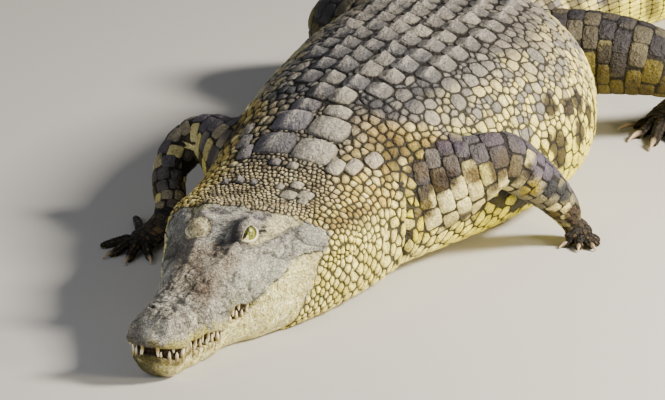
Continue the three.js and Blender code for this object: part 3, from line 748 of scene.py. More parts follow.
def markings(p, normal, limb, foot, tone):
    """The hide's colour at each point: ground colours laid over one another, as thickly as smooth ramps
    over its place and random blobs say. limb and foot say how far it belongs to one, and tone is a
    random number for the scale it lies on."""
    s, out = station(p)
    v = turn_of(s, out, p[:, 2])
    broad, middling, fine = noise(p, 130, 11), noise(p, 45, 12), noise(p, 16, 13)
    shift = 0.05 * (broad - 0.5) + 0.06 * (middling - 0.5)
    w = v + shift

    body = mix(colour("#5c5b5c"), colour("#706b64"), ramp(s, 1000, 1500)[:, None])
    body = paint(body, "#4a4a4c", ramp(middling, 0.45, 0.75) * 0.7)
    body = paint(body, "#958f84", ramp(tone, 0.6, 1) * 0.7)
    flank = paint(ground("#b0a78c", p), "#8a867e", ramp(tone, 0.62, 0.82))
    flank = paint(flank, "#d2c697", ramp(0.55 - tone, 0.1, 0.4))
    body = mix(body, flank, ramp(w, 0.17, 0.26)[:, None])
    body = paint(body, "#f4e8a2", ramp(w + 0.12 * (0.5 - tone), 0.3, 0.4) * ramp(0.92 - tone, 0, 0.1))
    body = paint(body, "#fdf18c", ramp(w, 0.4, 0.5))
    body = paint(body, "#d9cf5c", 0.5 * ramp(w, 0.42, 0.6) * ramp(broad, 0.4, 0.7))
    rear = np.cos((s - 1335) / 80 * 2 * np.pi + 2 * (broad - 0.5) + 3 * (w - 0.5))
    rear = ramp(rear + 1.6 * (middling - 0.5), 0.5, 0.8) * ramp(w, 0.38, 0.43) * fall(w, 0.54, 0.6)
    blotch = rear * np.where(out > 0, ramp(s, 1450, 1480), ramp(s, 1120, 1200)) * fall(s, 1900, 2000)
    for middle_s, middle_v, half_s, half_v in BLOTCHES:
        near = np.hypot((s - middle_s) / half_s, (v - middle_v) / half_v) + 0.7 * (fine - 0.5)
        blotch = np.maximum(blotch, fall(near, 0.84, 1.12) * (out > 0))
    body = paint(body, "#2a2012", 0.95 * blotch)
    tail = ramp(s, 1950, 2150)
    band = ramp(np.cos(s / 190 * 2 * np.pi + 3 * (broad - 0.5)) + (middling - 0.5), -0.1, 0.5)
    body = paint(body, "#3a3327", tail * band * 0.75 * fall(w, 0.6, 0.75))

    neck = 1 - ramp(s - 80 * ramp(v, 0.15, 0.32), 870, 930)
    nape = paint(ground("#b8ab8c", p), "#d6ccae", ramp(tone, 0.5, 0.9))
    nape = paint(nape, "#4f4636", ramp(fine, 0.5, 0.75) * 0.7)
    nape = paint(nape, "#625e58", ramp(s, 640, 740) * fall(v, 0.1, 0.17) * 0.8)
    beside = paint(ground("#cbba7c", p), "#bf9f68", 0.55 * ramp(tone, 0.7, 0.9))
    beside = paint(beside, "#efe2ac", ramp(0.3 - tone, 0, 0.2))
    beside = paint(beside, "#7d6d48", 0.7 * ramp(middling, 0.55, 0.75))
    nape = mix(nape, beside, ramp(w, 0.13, 0.26)[:, None])
    # Painted shade: the yellow low on the neck is laid thinner on the right side near the head.
    shaded = fall(s, 520, 600) * fall(out, -20, 20)
    nape = paint(nape, "#fff4aa", ramp(w, 0.36, 0.48) * (1 - 0.7 * shaded))
    nape = paint(nape, "#ded06a", 0.5 * ramp(w, 0.4, 0.56) * ramp(middling, 0.45, 0.7))
    shoulder = hill(s - 860, 60) * hill(v - 0.3, 0.13)
    golden = hill(s - 905, 60) * hill(v - 0.2, 0.07) * (out > 0)
    nape = paint(nape, "#b79c66", 0.6 * golden)
    nape = paint(nape, "#cdbd48", 0.8 * hill(s - 870, 70) * hill(v - 0.5, 0.11))
    nape = paint(nape, "#3b2f19", shoulder * ramp(middling + 0.4 * tone, 0.4, 0.62) * 0.94)
    body = mix(body, nape, neck[:, None])

    # The head: mauve-grey over the skull with rubbed brown patches on the snout, cream below.
    level, gap = lip_level(s), np.maximum(mouth_gap(s), 2.2)
    wide_out = np.abs(out)
    left = out > 0
    tiny, cracked = noise(p, 5, 14), creases(p)
    head = ground("#b7b4ab", p)
    head = paint(head, "#80796e", ramp(middling, 0.46, 0.7) * 0.6)
    head = paint(head, "#c9c5b6", ramp(fine, 0.54, 0.68) * 0.7)
    head = paint(head, "#655d52", ramp(tiny, 0.62, 0.72) * 0.5)
    head = paint(head, "#dbd8ca", ramp(1 - tiny, 0.64, 0.74) * 0.55)
    rubbed = hill(np.hypot((s - 192) * 0.8, (out - 40) * 1.2), 26)
    rubbed += 0.8 * hill(np.hypot(s - 255, out * 0.9), 34)
    rubbed += 0.6 * hill(np.hypot(s - 330, out - 8), 34)
    bridge = ramp(s, 130, 190) * fall(s, 300, 350) * fall(v, 0.14, 0.24)
    head = paint(head, "#857a6a", 0.6 * bridge)
    head = paint(head, "#645448", rubbed * ramp(middling + 0.3 * fine, 0.4, 0.62) * 0.85)
    head = paint(head, "#908c84", 0.5 * hill(np.hypot(s - 52, wide_out - 13), 22))
    snout_side = fall(s, 110, 150) * ramp(v, 0.16, 0.3)
    head = paint(head, "#c6c2b2", 0.5 * snout_side * ramp(fine, 0.35, 0.6))
    cheek_side = ramp(v, 0.2, 0.32) * ramp(s, 150, 260)
    head = paint(head, "#b4b7a6", 0.6 * cheek_side * ramp(broad + 0.6 * middling, 0.6, 0.95))
    # Painted shade over the right side of the head, from the snout to behind the eye, laid in patches.
    shaded_and_weathered = ramp(-out, 12, 50) * ramp(s, 250, 310) * fall(s, 395, 430)
    head = paint(head, "#59544f", 0.6 * shaded_and_weathered * ramp(middling + 0.4 * fine, 0.3, 0.75))
    table = ramp(s, 390, 410) * fall(wide_out, table_half_width(s) - 16, table_half_width(s) + 2)
    head = paint(head, "#a5a399", 0.8 * table * ramp(middling, 0.25, 0.5))
    head = paint(head, "#c4c2b6", 0.7 * table * ramp(fine, 0.5, 0.62))
    # Painted shade: a purple-grey patch on the skull behind each eye.
    head = paint(head, "#6d6576", 0.75 * hill(np.hypot((s - 425) * 0.7, wide_out - 50), 26))
    behind_eye = ramp(s, 384, 420) * ramp(wide_out, 66, 84) * fall(wide_out - jaw_muscle(s), -4, 6)
    head = paint(head, "#cbc5a4", 0.9 * behind_eye)
    muscle = ramp(s, 378, 410) * ramp(wide_out - jaw_muscle(s), -2, 8) * ramp(p[:, 2], level, level + 8)
    head = paint(head, "#a19e99", 0.8 * muscle * ramp(fine, 0.3, 0.6))
    # Painted shade along the fold at the jaw muscle's upper edge.
    fold = hill(wide_out - jaw_muscle(s), 2.6) * ramp(s, 382, 400)
    head = paint(head, "#6b604c", 0.7 * fold * (v < 0.45))
    # Round the left eye: painted shade in the hollow in front, a cream band under and behind it with
    # painted shade along a groove beside it, and painted shade in a crease at the rear corner. The right
    # eye's lids are painted pale, with painted shade in their fine wrinkles and in the crease round them.
    band_far = np.abs((wide_out - 86) - 0.42 * (s - 391)) + 0.1 * np.maximum(s - 405, 0)
    band = fall(band_far, 3.5, 6) * ramp(s, 356, 368) * fall(s, 436, 456) * left
    head = paint(head, "#f2ecc4", 0.95 * band)
    below_band = hill(band_far - 9, 2.4) * ramp(s, 372, 384) * fall(s, 420, 440) * left
    head = paint(head, "#6a6254", 0.6 * below_band)
    groove = hill(band_far - 8, 1.8) * (wide_out < 86 + 0.42 * (s - 391))
    groove = groove * ramp(s, 366, 376) * fall(s, 392, 404)
    head = paint(head, "#6d6038", 0.75 * groove * left)
    corner = np.hypot((s - 404) / 12, (p[:, 2] - 223.5) / 3.8) + 3 * (np.abs(wide_out - 82) > 12)
    hollow = hill(np.hypot((s - 356) * 0.9, (out - 34) * 1.1), 20)
    hollow = hollow + 0.7 * hill(np.hypot(s - 384, out - 34), 17)
    head = paint(head, "#39363c", 0.9 * np.minimum(hollow, 1) * left)
    from_right = np.linalg.norm(p - eye_frame(-1)[0], axis=1)
    pale_right_lids = fall(from_right, 29, 32) * (out < 0)
    head = paint(head, "#3c372f", 0.85 * hill(from_right - 33.5, 2.6) * (out < 0))
    head = paint(head, "#cdc4a6", 0.95 * pale_right_lids)
    head = paint(head, "#7a7058", 0.8 * pale_right_lids * ramp(np.sin(s * 0.5 + 7 * fine + 3 * tiny), 0.35, 0.8))
    # Painted shade in the hide's cracks: the colour falls towards a fifth in them, less on the pale lids and
    # behind the eye.
    head = mix(head, head * 0.2, (0.9 * cracked * (1 - 0.8 * np.maximum(pale_right_lids, behind_eye)))[:, None])
    # Painted shade in the crease at the left eye's rear corner.
    head = paint(head, "#120d08", fall(corner, 0.85, 1.15) * left)
    lip = ramp(p[:, 2], level - 12, level - 1) * fall(p[:, 2], level + 6, level + 30)
    head = paint(head, "#b0a868", 0.85 * lip * fall(s, 190, 260) * ramp(fine + middling, 0.65, 1.05))
    # Painted shade over the front of the snout on its right side, along the upper lip and above it.
    head = paint(head, "#5b523a", 0.7 * lip * fall(s, 40, 90) * fall(out, 10, 50))
    shaded_snout_front = fall(s, 30, 110) * fall(out, -30, 25) * ramp(v, 0.08, 0.2)
    head = paint(head, "#57524c", 0.55 * shaded_snout_front)
    jaw = 1 - ramp(p[:, 2], level - gap - 2, level - gap + 1)
    # The lower jaw's own cream, lifted nearly to white as painted light thrown up from below.
    lower = paint(ground("#faf2b8", p), "#e4da9c", ramp(middling, 0.45, 0.7) * 0.7)
    lower = paint(lower, "#c4c07c", 0.35 * ramp(broad + fine, 0.95, 1.25))
    lower = paint(lower, "#fcf8d6", 0.7 * ramp(tiny, 0.5, 0.65))
    lower = paint(lower, "#ddd3ab", ramp(s, 380, 470) * fall(w, 0.54, 0.66) * 0.7)
    lower = paint(lower, "#8c8462", ramp(1 - tiny, 0.68, 0.76) * 0.7)
    below = level - gap - p[:, 2]
    bars = ramp(np.cos(s / 13.5 * 2 * np.pi), -0.2, 0.5) * ramp(below, 0, 3) * fall(below, 11, 21)
    lower = paint(lower, "#6b592f", 0.85 * bars * fall(s, 190, 230))
    stained = fall(s, 84, 125) * fall(below + 12 * (fine - 0.5), 4, 17)
    lower = paint(lower, "#5a4d2c", 0.85 * stained)
    # Painted shade, in patches, over the front of the lower jaw on its right side.
    tip = fall(s, 34, 80) * fall(out, 0, 46)
    lower = paint(lower, "#544f30", 0.95 * tip * ramp(middling + 0.5 * fine, 0.25, 0.65))
    # Painted shade in the lower jaw's cracks.
    lower = mix(lower, lower * 0.5, 0.4 * cracked[:, None])
    head = mix(head, lower, jaw[:, None])
    # Painted shade: the gap between the lips, the ear slits and the nostrils are painted near black.
    mouth = ramp(p[:, 2], level - gap - 1, level - gap + 0.4) * fall(p[:, 2], level - 0.8, level + 0.6)
    head = paint(head, "#38270f", 0.96 * mouth * (v > 0.25) * fall(s, 470, LIP_END))
    head = paint(head, "#16100b", fall(ear_slit(s, wide_out), 0.7, 1.2) * (v < 0.4))
    nostril = np.hypot((s - 47 - 0.012 * (wide_out - 4) ** 2) / 3.0, (wide_out - 15) / 11)
    head = paint(head, "#262019", 0.92 * fall(nostril, 0.6, 1.1) * (v < 0.4))
    edge = head_end(v)
    body = mix(head, body, ramp(s + 8 * (middling - 0.5), edge - 6, edge + 6)[:, None])

    # The limbs: purple-grey above, olive-yellow and cream below, with dark brown patches between,
    # darker towards the foot.
    over = normal[:, 2] + 0.4 * (broad - 0.5) + 0.5 * (tone - 0.5)
    far_down = 1 - ramp(p[:, 2], 70, 190)
    leg = paint(ground("#ddd29c", p), "#f0e6b6", ramp(tone + middling, 0.75, 1.2))
    leg = paint(leg, "#b0a645", 0.45 * ramp(broad, 0.45, 0.7))
    leg = paint(leg, "#a3987c", ramp(over, 0.15, 0.5) * 0.85)
    patches = noise(p, 62, 21) + 0.55 * (tone - 0.5) + 0.1 * far_down
    leg = paint(leg, "#35291a", 0.93 * ramp(patches, 0.56, 0.66))
    leg = paint(leg, "#534f52", ramp(over, 0.28, 0.62) * mix(0.6, 1, ramp(tone, 0.2, 0.5)))
    leg = paint(leg, "#4e4330", 0.75 * far_down * ramp(tone, 0.2, 0.6))
    hind = ramp(s, 1700, 1800) * (1 - foot)
    leg = paint(leg, "#a8953a", 0.7 * hind * fall(over, 0.1, 0.45))
    # The hind legs are darkened to between a fifth and a third, most on their undersides: a darker hide and
    # painted shade.
    leg = mix(leg, leg * mix(0.22, 0.34, ramp(over, 0.1, 0.5))[:, None], hind[:, None])
    forearm = ramp(p[:, 1], 1015, 1060) * fall(p[:, 1], 1280, 1320) * (p[:, 0] > 0)
    leg = paint(leg, "#5d594c", 0.85 * forearm * ramp(tone, 0.05, 0.3))
    leg = paint(leg, "#49454e", 0.9 * forearm * ramp(over, 0.1, 0.4))
    for x, y, z, radius, code in ARM_MARKS:
        away = np.linalg.norm(p - (x, y, z), axis=1)
        leg = paint(leg, code, 0.92 * fall(away, 1.1 * radius, 1.5 * radius))
    # The feet are dark brown, deepened nearly to black as painted shade.
    hand = paint(ground("#2c2419", p), "#5f4f37", ramp(tone, 0.6, 0.95) * 0.9)
    hand = paint(hand, "#8f8546", 0.6 * ramp(-normal[:, 2], 0, 0.5))
    leg = mix(leg, hand, foot[:, None])
    result = mix(body, leg, limb[:, None])
    grey = result.mean(1, keepdims=True)
    return np.maximum(grey + VIVID * (result - grey), DARKEST) * GRIMED


def set_colours(mesh, values):
    """Markings and painted shade, stored on a mesh's points."""
    layer = mesh.color_attributes.new("markings", "FLOAT_COLOR", "POINT")
    layer.data.foreach_set("color", np.c_[values, np.ones(len(values))].astype(np.float32).ravel())


def set_numbers(mesh, name, values):
    """One number on each point of a mesh."""
    mesh.attributes.new(name, "FLOAT", "POINT").data.foreach_set("value", values.astype(np.float32))


def limb_weights(p):
    """How far each point belongs to a limb, and to its foot: near the limb's curve in units of its
    thickness, and free of the trunk; the foot is what lies past the wrist or close to a toe's tip."""
    limb, foot = np.zeros(len(p)), np.zeros(len(p))
    s, out = station(p)
    free = ramp(np.abs(out) - half_width(s) * snout_cap(s, SNOUT_ROUND), -45, 10)
    for shape in LIMBS:
        places = np.linspace(0, len(shape["curve"]) - 1, 90)
        centre, wide, high, *_ = limb_axes(shape["curve"], places)
        size = np.maximum(wide, high)
        near = np.full(len(p), 9.0)
        at = np.zeros(len(p))
        for k in range(len(places)):
            gap = np.linalg.norm(p - centre[k], axis=1) / size[k]
            at = np.where(gap < near, places[k], at)
            near = np.minimum(near, gap)
        mine = free * fall(near, 1.25, 1.6)
        toes = np.array(shape["toes"])
        foot_gap = np.min([np.linalg.norm(p[:, :2] - q[:2], axis=1) for q in toes], axis=0)
        wrist = shape["curve"][-4]
        on_foot = (foot_gap < 75) | (at > len(shape["curve"]) - 2.5)
        on_foot &= (p[:, 2] < wrist[2]) & (np.linalg.norm(p[:, :2] - np.array(wrist[:2]), axis=1) < 260)
        mine = np.maximum(mine, on_foot * free)
        limb = np.maximum(limb, mine)
        past_wrist = ramp(at, len(shape["curve"]) - 4, len(shape["curve"]) - 2.6)
        foot = np.maximum(foot, mine * np.maximum(past_wrist, on_foot))
    return limb, foot


skin_limb, skin_foot = limb_weights(skin_points)
skin_s, skin_out = station(skin_points)
skin_colour = markings(skin_points, skin_normals, skin_limb, skin_foot, np.full(len(skin_points), 0.5))
skin_turn = turn_of(skin_s, skin_out, skin_points[:, 2])
skin_edge = head_end(skin_turn)
scaly = np.maximum(ramp(skin_s, skin_edge - 3, skin_edge + 5), skin_limb)
# The skin under the scales is painted near black, as darker skin and painted shade in the gaps between them.
skin_colour = mix(skin_colour, skin_colour * 0.05 + colour("#1f170c") * 0.3, scaly[:, None])
set_colours(joined, skin_colour)
set_numbers(joined, "bare", 1 - scaly)


def node(tree, kind, inputs=None, **settings):
    """A shader node with its settings; an input is a constant or another node's output."""
    made = tree.nodes.new(kind)
    for key, value in settings.items():
        setattr(made, key, value)
    for key, value in (inputs or {}).items():
        if isinstance(value, bpy.types.NodeSocket):
            tree.links.new(value, made.inputs[key])
        else:
            made.inputs[key].default_value = value
    return made


def material(name):
    """An empty node material and its main shader."""
    made = bpy.data.materials.new(name)
    made.use_nodes = True
    made.node_tree.nodes.clear()
    shader = made.node_tree.nodes.new("ShaderNodeBsdfPrincipled")
    output = made.node_tree.nodes.new("ShaderNodeOutputMaterial")
    made.node_tree.links.new(shader.outputs[0], output.inputs[0])
    return made, made.node_tree, shader


# Horny hide, dry and weathered: dull and rough, so that it shows soft broad lights and no mirror spots.
# Grime of 5 to 20 mm breaks up every colour, fine pits darken it, and the bare skin has cracks as well.
hide, tree, shader = material("weathered hide")
coordinate = node(tree, "ShaderNodeTexCoord")
mm = node(
    tree, "ShaderNodeVectorMath", {0: coordinate.outputs["Object"], "Scale": 1000.0}, operation="SCALE"
).outputs[0]
painted = node(tree, "ShaderNodeAttribute", attribute_name="markings").outputs["Color"]
bare = node(tree, "ShaderNodeAttribute", attribute_name="bare").outputs["Fac"]
speckle = node(tree, "ShaderNodeTexNoise", {"Vector": mm, "Scale": 0.22, "Detail": 4.0, "Roughness": 0.65})
dirt = node(tree, "ShaderNodeTexNoise", {"Vector": mm, "Scale": 0.045, "Detail": 3.0, "Roughness": 0.6})
pitted = node(tree, "ShaderNodeTexNoise", {"Vector": mm, "Scale": 0.55, "Detail": 2.0, "Roughness": 0.6})
mottled = painted
for pattern, low, high, darkest, palest in (
    (speckle, 0.32, 0.68, 0.55, 1.36), (pitted, 0.36, 0.5, 0.62, 1.06), (dirt, 0.35, 0.68, 0.84, 1.12)
):
    limits = {"From Min": low, "From Max": high, "To Min": darkest, "To Max": palest}
    spots = node(tree, "ShaderNodeMapRange", {"Value": pattern.outputs["Fac"], **limits})
    mottled = node(
        tree, "ShaderNodeVectorMath", {0: mottled, "Scale": spots.outputs[0]}, operation="SCALE"
    ).outputs[0]
tree.links.new(mottled, shader.inputs["Base Color"])
coarse = node(tree, "ShaderNodeTexNoise", {"Vector": mm, "Scale": 0.085, "Detail": 3.0, "Roughness": 0.55})
cells = node(
    tree, "ShaderNodeTexVoronoi", {"Vector": mm, "Scale": 0.13, "Randomness": 1.0}, feature="DISTANCE_TO_EDGE"
)
cracks = node(
    tree, "ShaderNodeMapRange",
    {"Value": cells.outputs["Distance"], "From Min": 0.0, "From Max": 0.08, "To Min": 0.0, "To Max": 1.0},
)
cracks = node(tree, "ShaderNodeMath", {0: cracks.outputs[0], 1: bare}, operation="MULTIPLY")
height = node(
    tree, "ShaderNodeMath",
    {0: cracks.outputs[0], 1: 0.7, 2: speckle.outputs["Fac"]}, operation="MULTIPLY_ADD",
)
height = node(
    tree, "ShaderNodeMath", {0: coarse.outputs["Fac"], 1: 2.4, 2: height.outputs[0]}, operation="MULTIPLY_ADD"
)
bump = node(tree, "ShaderNodeBump", {"Strength": 1.0, "Distance": 0.004, "Height": height.outputs[0]})
tree.links.new(bump.outputs[0], shader.inputs["Normal"])
sheen = node(
    tree, "ShaderNodeMapRange",
    {"Value": dirt.outputs["Fac"], "From Min": 0.3, "From Max": 0.7, "To Min": 0.46, "To Max": 0.68},
)
tree.links.new(sheen.outputs[0], shader.inputs["Roughness"])
shader.inputs["Specular IOR Level"].default_value = 0.3
joined.materials.clear()
joined.materials.append(hide)
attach(skin, "root")
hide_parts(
    "head", "lower_jaw", "neck", "trunk", "tail_base", "tail_middle", "tail_rear", "tail_tip",
    *[f"{limb['name']}_{part}" for limb in LIMBS for part in ("upper", "lower", "foot")],
)


# ---------------------------------------------------------------- scales
# Horny scales close over the whole hide behind the head: keeled bony plates down the back and nape, fine
# grains on the neck, pebbles on the flanks, tiles on the belly and legs, rings of tiles on the tail.
# Each has a root, a direction towards the tail, a size along and across, and a rank over neighbours.
SCALE_SIDES = 12
SCALE_RINGS = ((0.5, 0.0), (0.88, 0.0), (0.975, 0.0), (1.0, -1.6))  # how far out, and sunk how deep
scatter = np.random.default_rng(7)
seeds = []


def sow(region, p, run, half_run, half_across, height, uv, keel=0.0, rank=0, square=0.0, limb=0.0, foot=0.0):
    """Scales added to the pool, at points near the skin. square is the power of the rounded square that
    a plate or tile is, and 0 for a loose pebble."""
    columns = (region, half_run, half_across, height, keel, rank, square, limb, foot, len(seeds))
    rest = [np.broadcast_to(np.asarray(value, float), len(p)) for value in columns]
    seeds.append(np.column_stack([p, run, uv, *rest]))


ARC_STEPS = 160  # in half a girth


def around(s, arc, side):
    """Points of the bare skin at an arc length from the back's middle, how far round they lie, and the
    part of the half girth that the arc covers."""
    v = np.linspace(0, 1, ARC_STEPS + 1)[None]
    x, z = outline(s[:, None], v)
    length = np.cumsum(np.hypot(np.diff(x), np.diff(z)), axis=1)
    length = np.concatenate([np.zeros((len(s), 1)), length], 1)
    index = np.clip((length < arc[:, None]).sum(1), 1, ARC_STEPS)
    row = np.arange(len(s))
    low, high = length[row, index - 1], length[row, index]
    turn = (index - 1 + np.clip((arc - low) / np.maximum(high - low, 1e-6), 0, 1)) / ARC_STEPS
    return body_point(s, turn, side), turn, arc / length[:, -1]


def girth(s):
    """Half the way round the outline at one station."""
    x, z = outline(np.full(ARC_STEPS + 1, s), np.linspace(0, 1, ARC_STEPS + 1))
    return np.hypot(np.diff(x), np.diff(z)).sum()


def tail_ward(s):
    """The level direction along the spine towards the tail."""
    a = np.radians(heading(s))
    return np.stack([np.sin(a), np.cos(a), 0 * a], 1)


def body_chart(s, part, side):
    """Where a place of the body lies on the flat map that colours are baked on: the station along it,
    the left side above its middle line and the right below."""
    return np.stack([0.02 + 0.96 * s / LENGTH, 0.3 + side * 0.28 * part], -1)


def sow_body(region, start, end, pitch, across, low, high, height, shake, stagger=0.5, size=(1, 1), **more):
    """Scales in rows round the body from station start to end, each row shifted by part of a step from
    the last and each scale shaken from its place. pitch, across, low and high are functions of the
    station; low and high are parts of the half girth."""
    s_all, arc_all = [], []
    s, number = start, 0
    while s < end:
        whole = girth(s)
        step = across(s)
        first_arc = low(s) * whole + step * (0.5 + stagger * (number % 2) - stagger / 2)
        arcs = np.arange(first_arc, high(s) * whole, step)
        arc_all.append(arcs)
        s_all.append(np.full(len(arcs), s))
        s += pitch(s)
        number += 1
    s, arc = np.concatenate(s_all), np.concatenate(arc_all)
    for side in (1, -1):
        wobble = scatter.uniform(-1, 1, (2, len(s))) * shake
        s_here = s + wobble[0] * pitch(s)
        arc_here = np.maximum(arc + wobble[1] * across(s), 2)
        p, _, part = around(s_here, arc_here, side)
        growth = scatter.uniform(*size, len(s))
        uv = body_chart(s_here, part, side)
        halves = pitch(s) / 2 * growth, across(s) / 2 * growth
        sow(region, p, tail_ward(s_here), *halves, height * growth, uv, **more)


def flat(value):
    """A profile that is the same at every station."""
    return lambda s: value + 0 * s


NAPE, BACK, FLANK, BELLY, TAIL, FIRST_LIMB = range(6)
# How far the back's shield of plates reaches out, and half the way round the body, in mm.
shield_edge = profile((990, 90), (1150, 165), (1500, 185), (1800, 170), (1950, 130), (2020, 110))
girths = profile(*[(s, girth(s)) for s in range(560, 4001, 80)])

# The nape's grains, then the neck's growing oval pebbles and the throat's tall ones.
fine = profile((480, 9.5), (700, 12), (1000, 16))
wider = profile((480, 12), (650, 17), (800, 21), (1000, 26))
grains_end = profile((480, 0.25), (640, 0.22), (740, 0.13), (1000, 0.1))
sow_body(NAPE, 484, 960, fine, fine, flat(0), grains_end, 2.8, 0.25, size=(0.85, 1.15))
sow_body(NAPE, 484, 1010, wider, wider, grains_end, flat(0.48), 4, 0.27, size=(0.75, 1.25))
sow_body(
    NAPE, 414, 980, profile((414, 11), (480, 14), (560, 17), (980, 27)),
    profile((414, 17), (480, 21), (560, 27), (980, 38)), flat(0.48), flat(0.98), 3.8, 0.18,
    size=(0.85, 1.1),
)
sow_body(NAPE, 840, 1080, flat(25), flat(24), flat(0.14), flat(0.5), 4, 0.24, size=(0.75, 1.25), rank=0.2)

# Knobs and flat plates behind the skull, and the neck shield of four joined plates with three pebbles
# beside them on each side: station, arc to the left, half sizes, height and keel.
SHIELD = (
    (619, -73, 11, 11, 7, 9), (613, -104, 10, 10, 6, 7), (616, -38, 10, 10, 5, 6), (612, 28, 11, 11, 4, 4),
    (588, 60, 19, 19, 3.5, 3), (604, 95, 19, 18, 3.5, 3), (632, 62, 14, 15, 3.5, 4), (578, 98, 12, 12, 3, 2),
    (746, 52, 39, 50, 8, 7), (822, 52, 37, 49, 8, 8), (752, -50, 38, 50, 8, 8), (828, -46, 38, 46, 8, 10),
    (723, 116, 27, 19, 8, 3), (750, 151, 26, 17, 7, 6), (803, 182, 24, 19, 7, 6),
    (728, -113, 27, 19, 7, 5), (772, -140, 25, 20, 7, 5), (820, -160, 24, 18, 7, 5), (877, 44, 20, 34, 6, 8),
    (882, -40, 22, 36, 6, 8), (690, 24, 12, 14, 5, 4), (694, -22, 12, 14, 5, 4),
)
rows = np.array(SHIELD, float)
for side in (1, -1):
    here = rows[rows[:, 1] * side > 0]
    p, _, part = around(here[:, 0], np.abs(here[:, 1]), side)
    uv = body_chart(here[:, 0], part, side)
    half_run, half_across, height, keel = here[:, 2:].T
    sow(BACK, p, tail_ward(here[:, 0]), half_run, half_across, height, uv, keel, rank=3, square=4.4)


def sow_grid(region, p, run, uv, height, keel=0.0, rank=1.0, square=7.0, limb=0.0, foot=0.0, closed=False):
    """Scales on a grid of rows and columns, each sized to fill its place between its neighbours; a
    closed grid's last column lies beside its first."""
    down = np.linalg.norm(np.gradient(p, axis=0), axis=-1) / 2
    if closed:
        over = np.linalg.norm(np.roll(p, -1, 1) - np.roll(p, 1, 1), axis=-1) / 4
    else:
        over = np.linalg.norm(np.gradient(p, axis=1), axis=-1) / 2
    values = (height, keel, rank, limb, foot)
    full = [np.broadcast_to(np.asarray(value, float), down.shape).ravel() for value in values]
    sow(
        region, p.reshape(-1, 3), run.reshape(-1, 3), down.ravel(), over.ravel(), full[0], uv.reshape(-1, 2),
        full[1], full[2], square, full[3], full[4],
    )


# The back's shield: keeled plates in cross rows and long columns.
ROW_PITCH, COLUMN_PITCH = 57.0, 61
row_s = np.arange(928, 2030, ROW_PITCH)
row_s = row_s + scatter.uniform(-4, 4, len(row_s))
s, column = np.meshgrid(row_s, np.arange(4), indexing="ij")
s, column = np.tile(s.ravel(), 2), np.tile(column.ravel(), 2)
side = np.repeat([1, -1], len(s) // 2)
arc = 31 + COLUMN_PITCH * column + scatter.uniform(-3, 3, len(s))
s = s + scatter.uniform(-3, 3, len(s)) + 20 * ramp(arc, 60, 240)
keep = (arc < shield_edge(s) + 10) & ((column == 0) | (s > 962))
s, arc, side, column = s[keep], arc[keep], side[keep], column[keep]
p, _, part = around(s, arc, side)
uv = body_chart(s, part, side)
grown = scatter.uniform(0.9, 1.04, len(s))
run = tail_ward(s) + 0.13 * scatter.normal(size=(len(s), 3)) * (1, 1, 0)
sow(
    BACK, p, run, 27.4 * grown, 31.4 * grown, 4.5, uv,
    (17 - 1.5 * column) * scatter.uniform(0.55, 1.15, len(s)), rank=3, square=3.6,
)

def beside_shield(s):
    """The part of the half girth where the back's shield ends."""
    return (shield_edge(s) + 4) / girths(s)


# The flanks: large flat pebbles with smaller ones filling in, and tiles from there to the belly.
for start, pitch, across, high, height, shake, size, rank in (
    (1000, 43, 44, 0.31, 3.4, 0.3, (0.65, 1.15), 0.8), (990, 29, 28, 0.45, 3.0, 0.32, (0.65, 1.15), 0.4),
    (990, 16, 16, 0.46, 2.6, 0.3, (0.8, 1.1), 0),
):
    sow_body(
        FLANK, start, 2060, flat(pitch), flat(across), beside_shield, flat(high), height, shake,
        size=size, rank=rank,
    )
sow_body(BELLY, 960, 2080, flat(28), flat(40), flat(0.46), flat(0.98), 4.0, 0.12, size=(0.92, 1.03), rank=0.6)

# The tail: a ring of tiles at each whorl, keeled on the upper part of each side where the tail begins.
whorls = [2040.0]
tail_pitch = profile((2020, 52), (2900, 50), (3500, 42), (3990, 24))
while whorls[-1] < 3985:
    whorls.append(whorls[-1] + tail_pitch(whorls[-1]))
s = np.array(whorls)
columns = 24
for side in (1, -1):
    part = np.broadcast_to((np.arange(columns) + 0.5) / columns, (len(s), columns))
    s_grid = np.broadcast_to(s[:, None], part.shape)
    p, _, _ = around(s_grid.ravel(), (part * girths(s_grid)).ravel(), side)
    uv = body_chart(s_grid, part, side)
    keel = 6 * (part < 0.25) * fall(s_grid, 2300, 3300)
    high = np.minimum(4.0, 0.04 * half_width(s_grid) + 1.2)
    run = tail_ward(s_grid.ravel()).reshape(*part.shape, 3)
    sow_grid(TAIL, p.reshape(*part.shape, 3), run, uv, high, keel, rank=1.5)

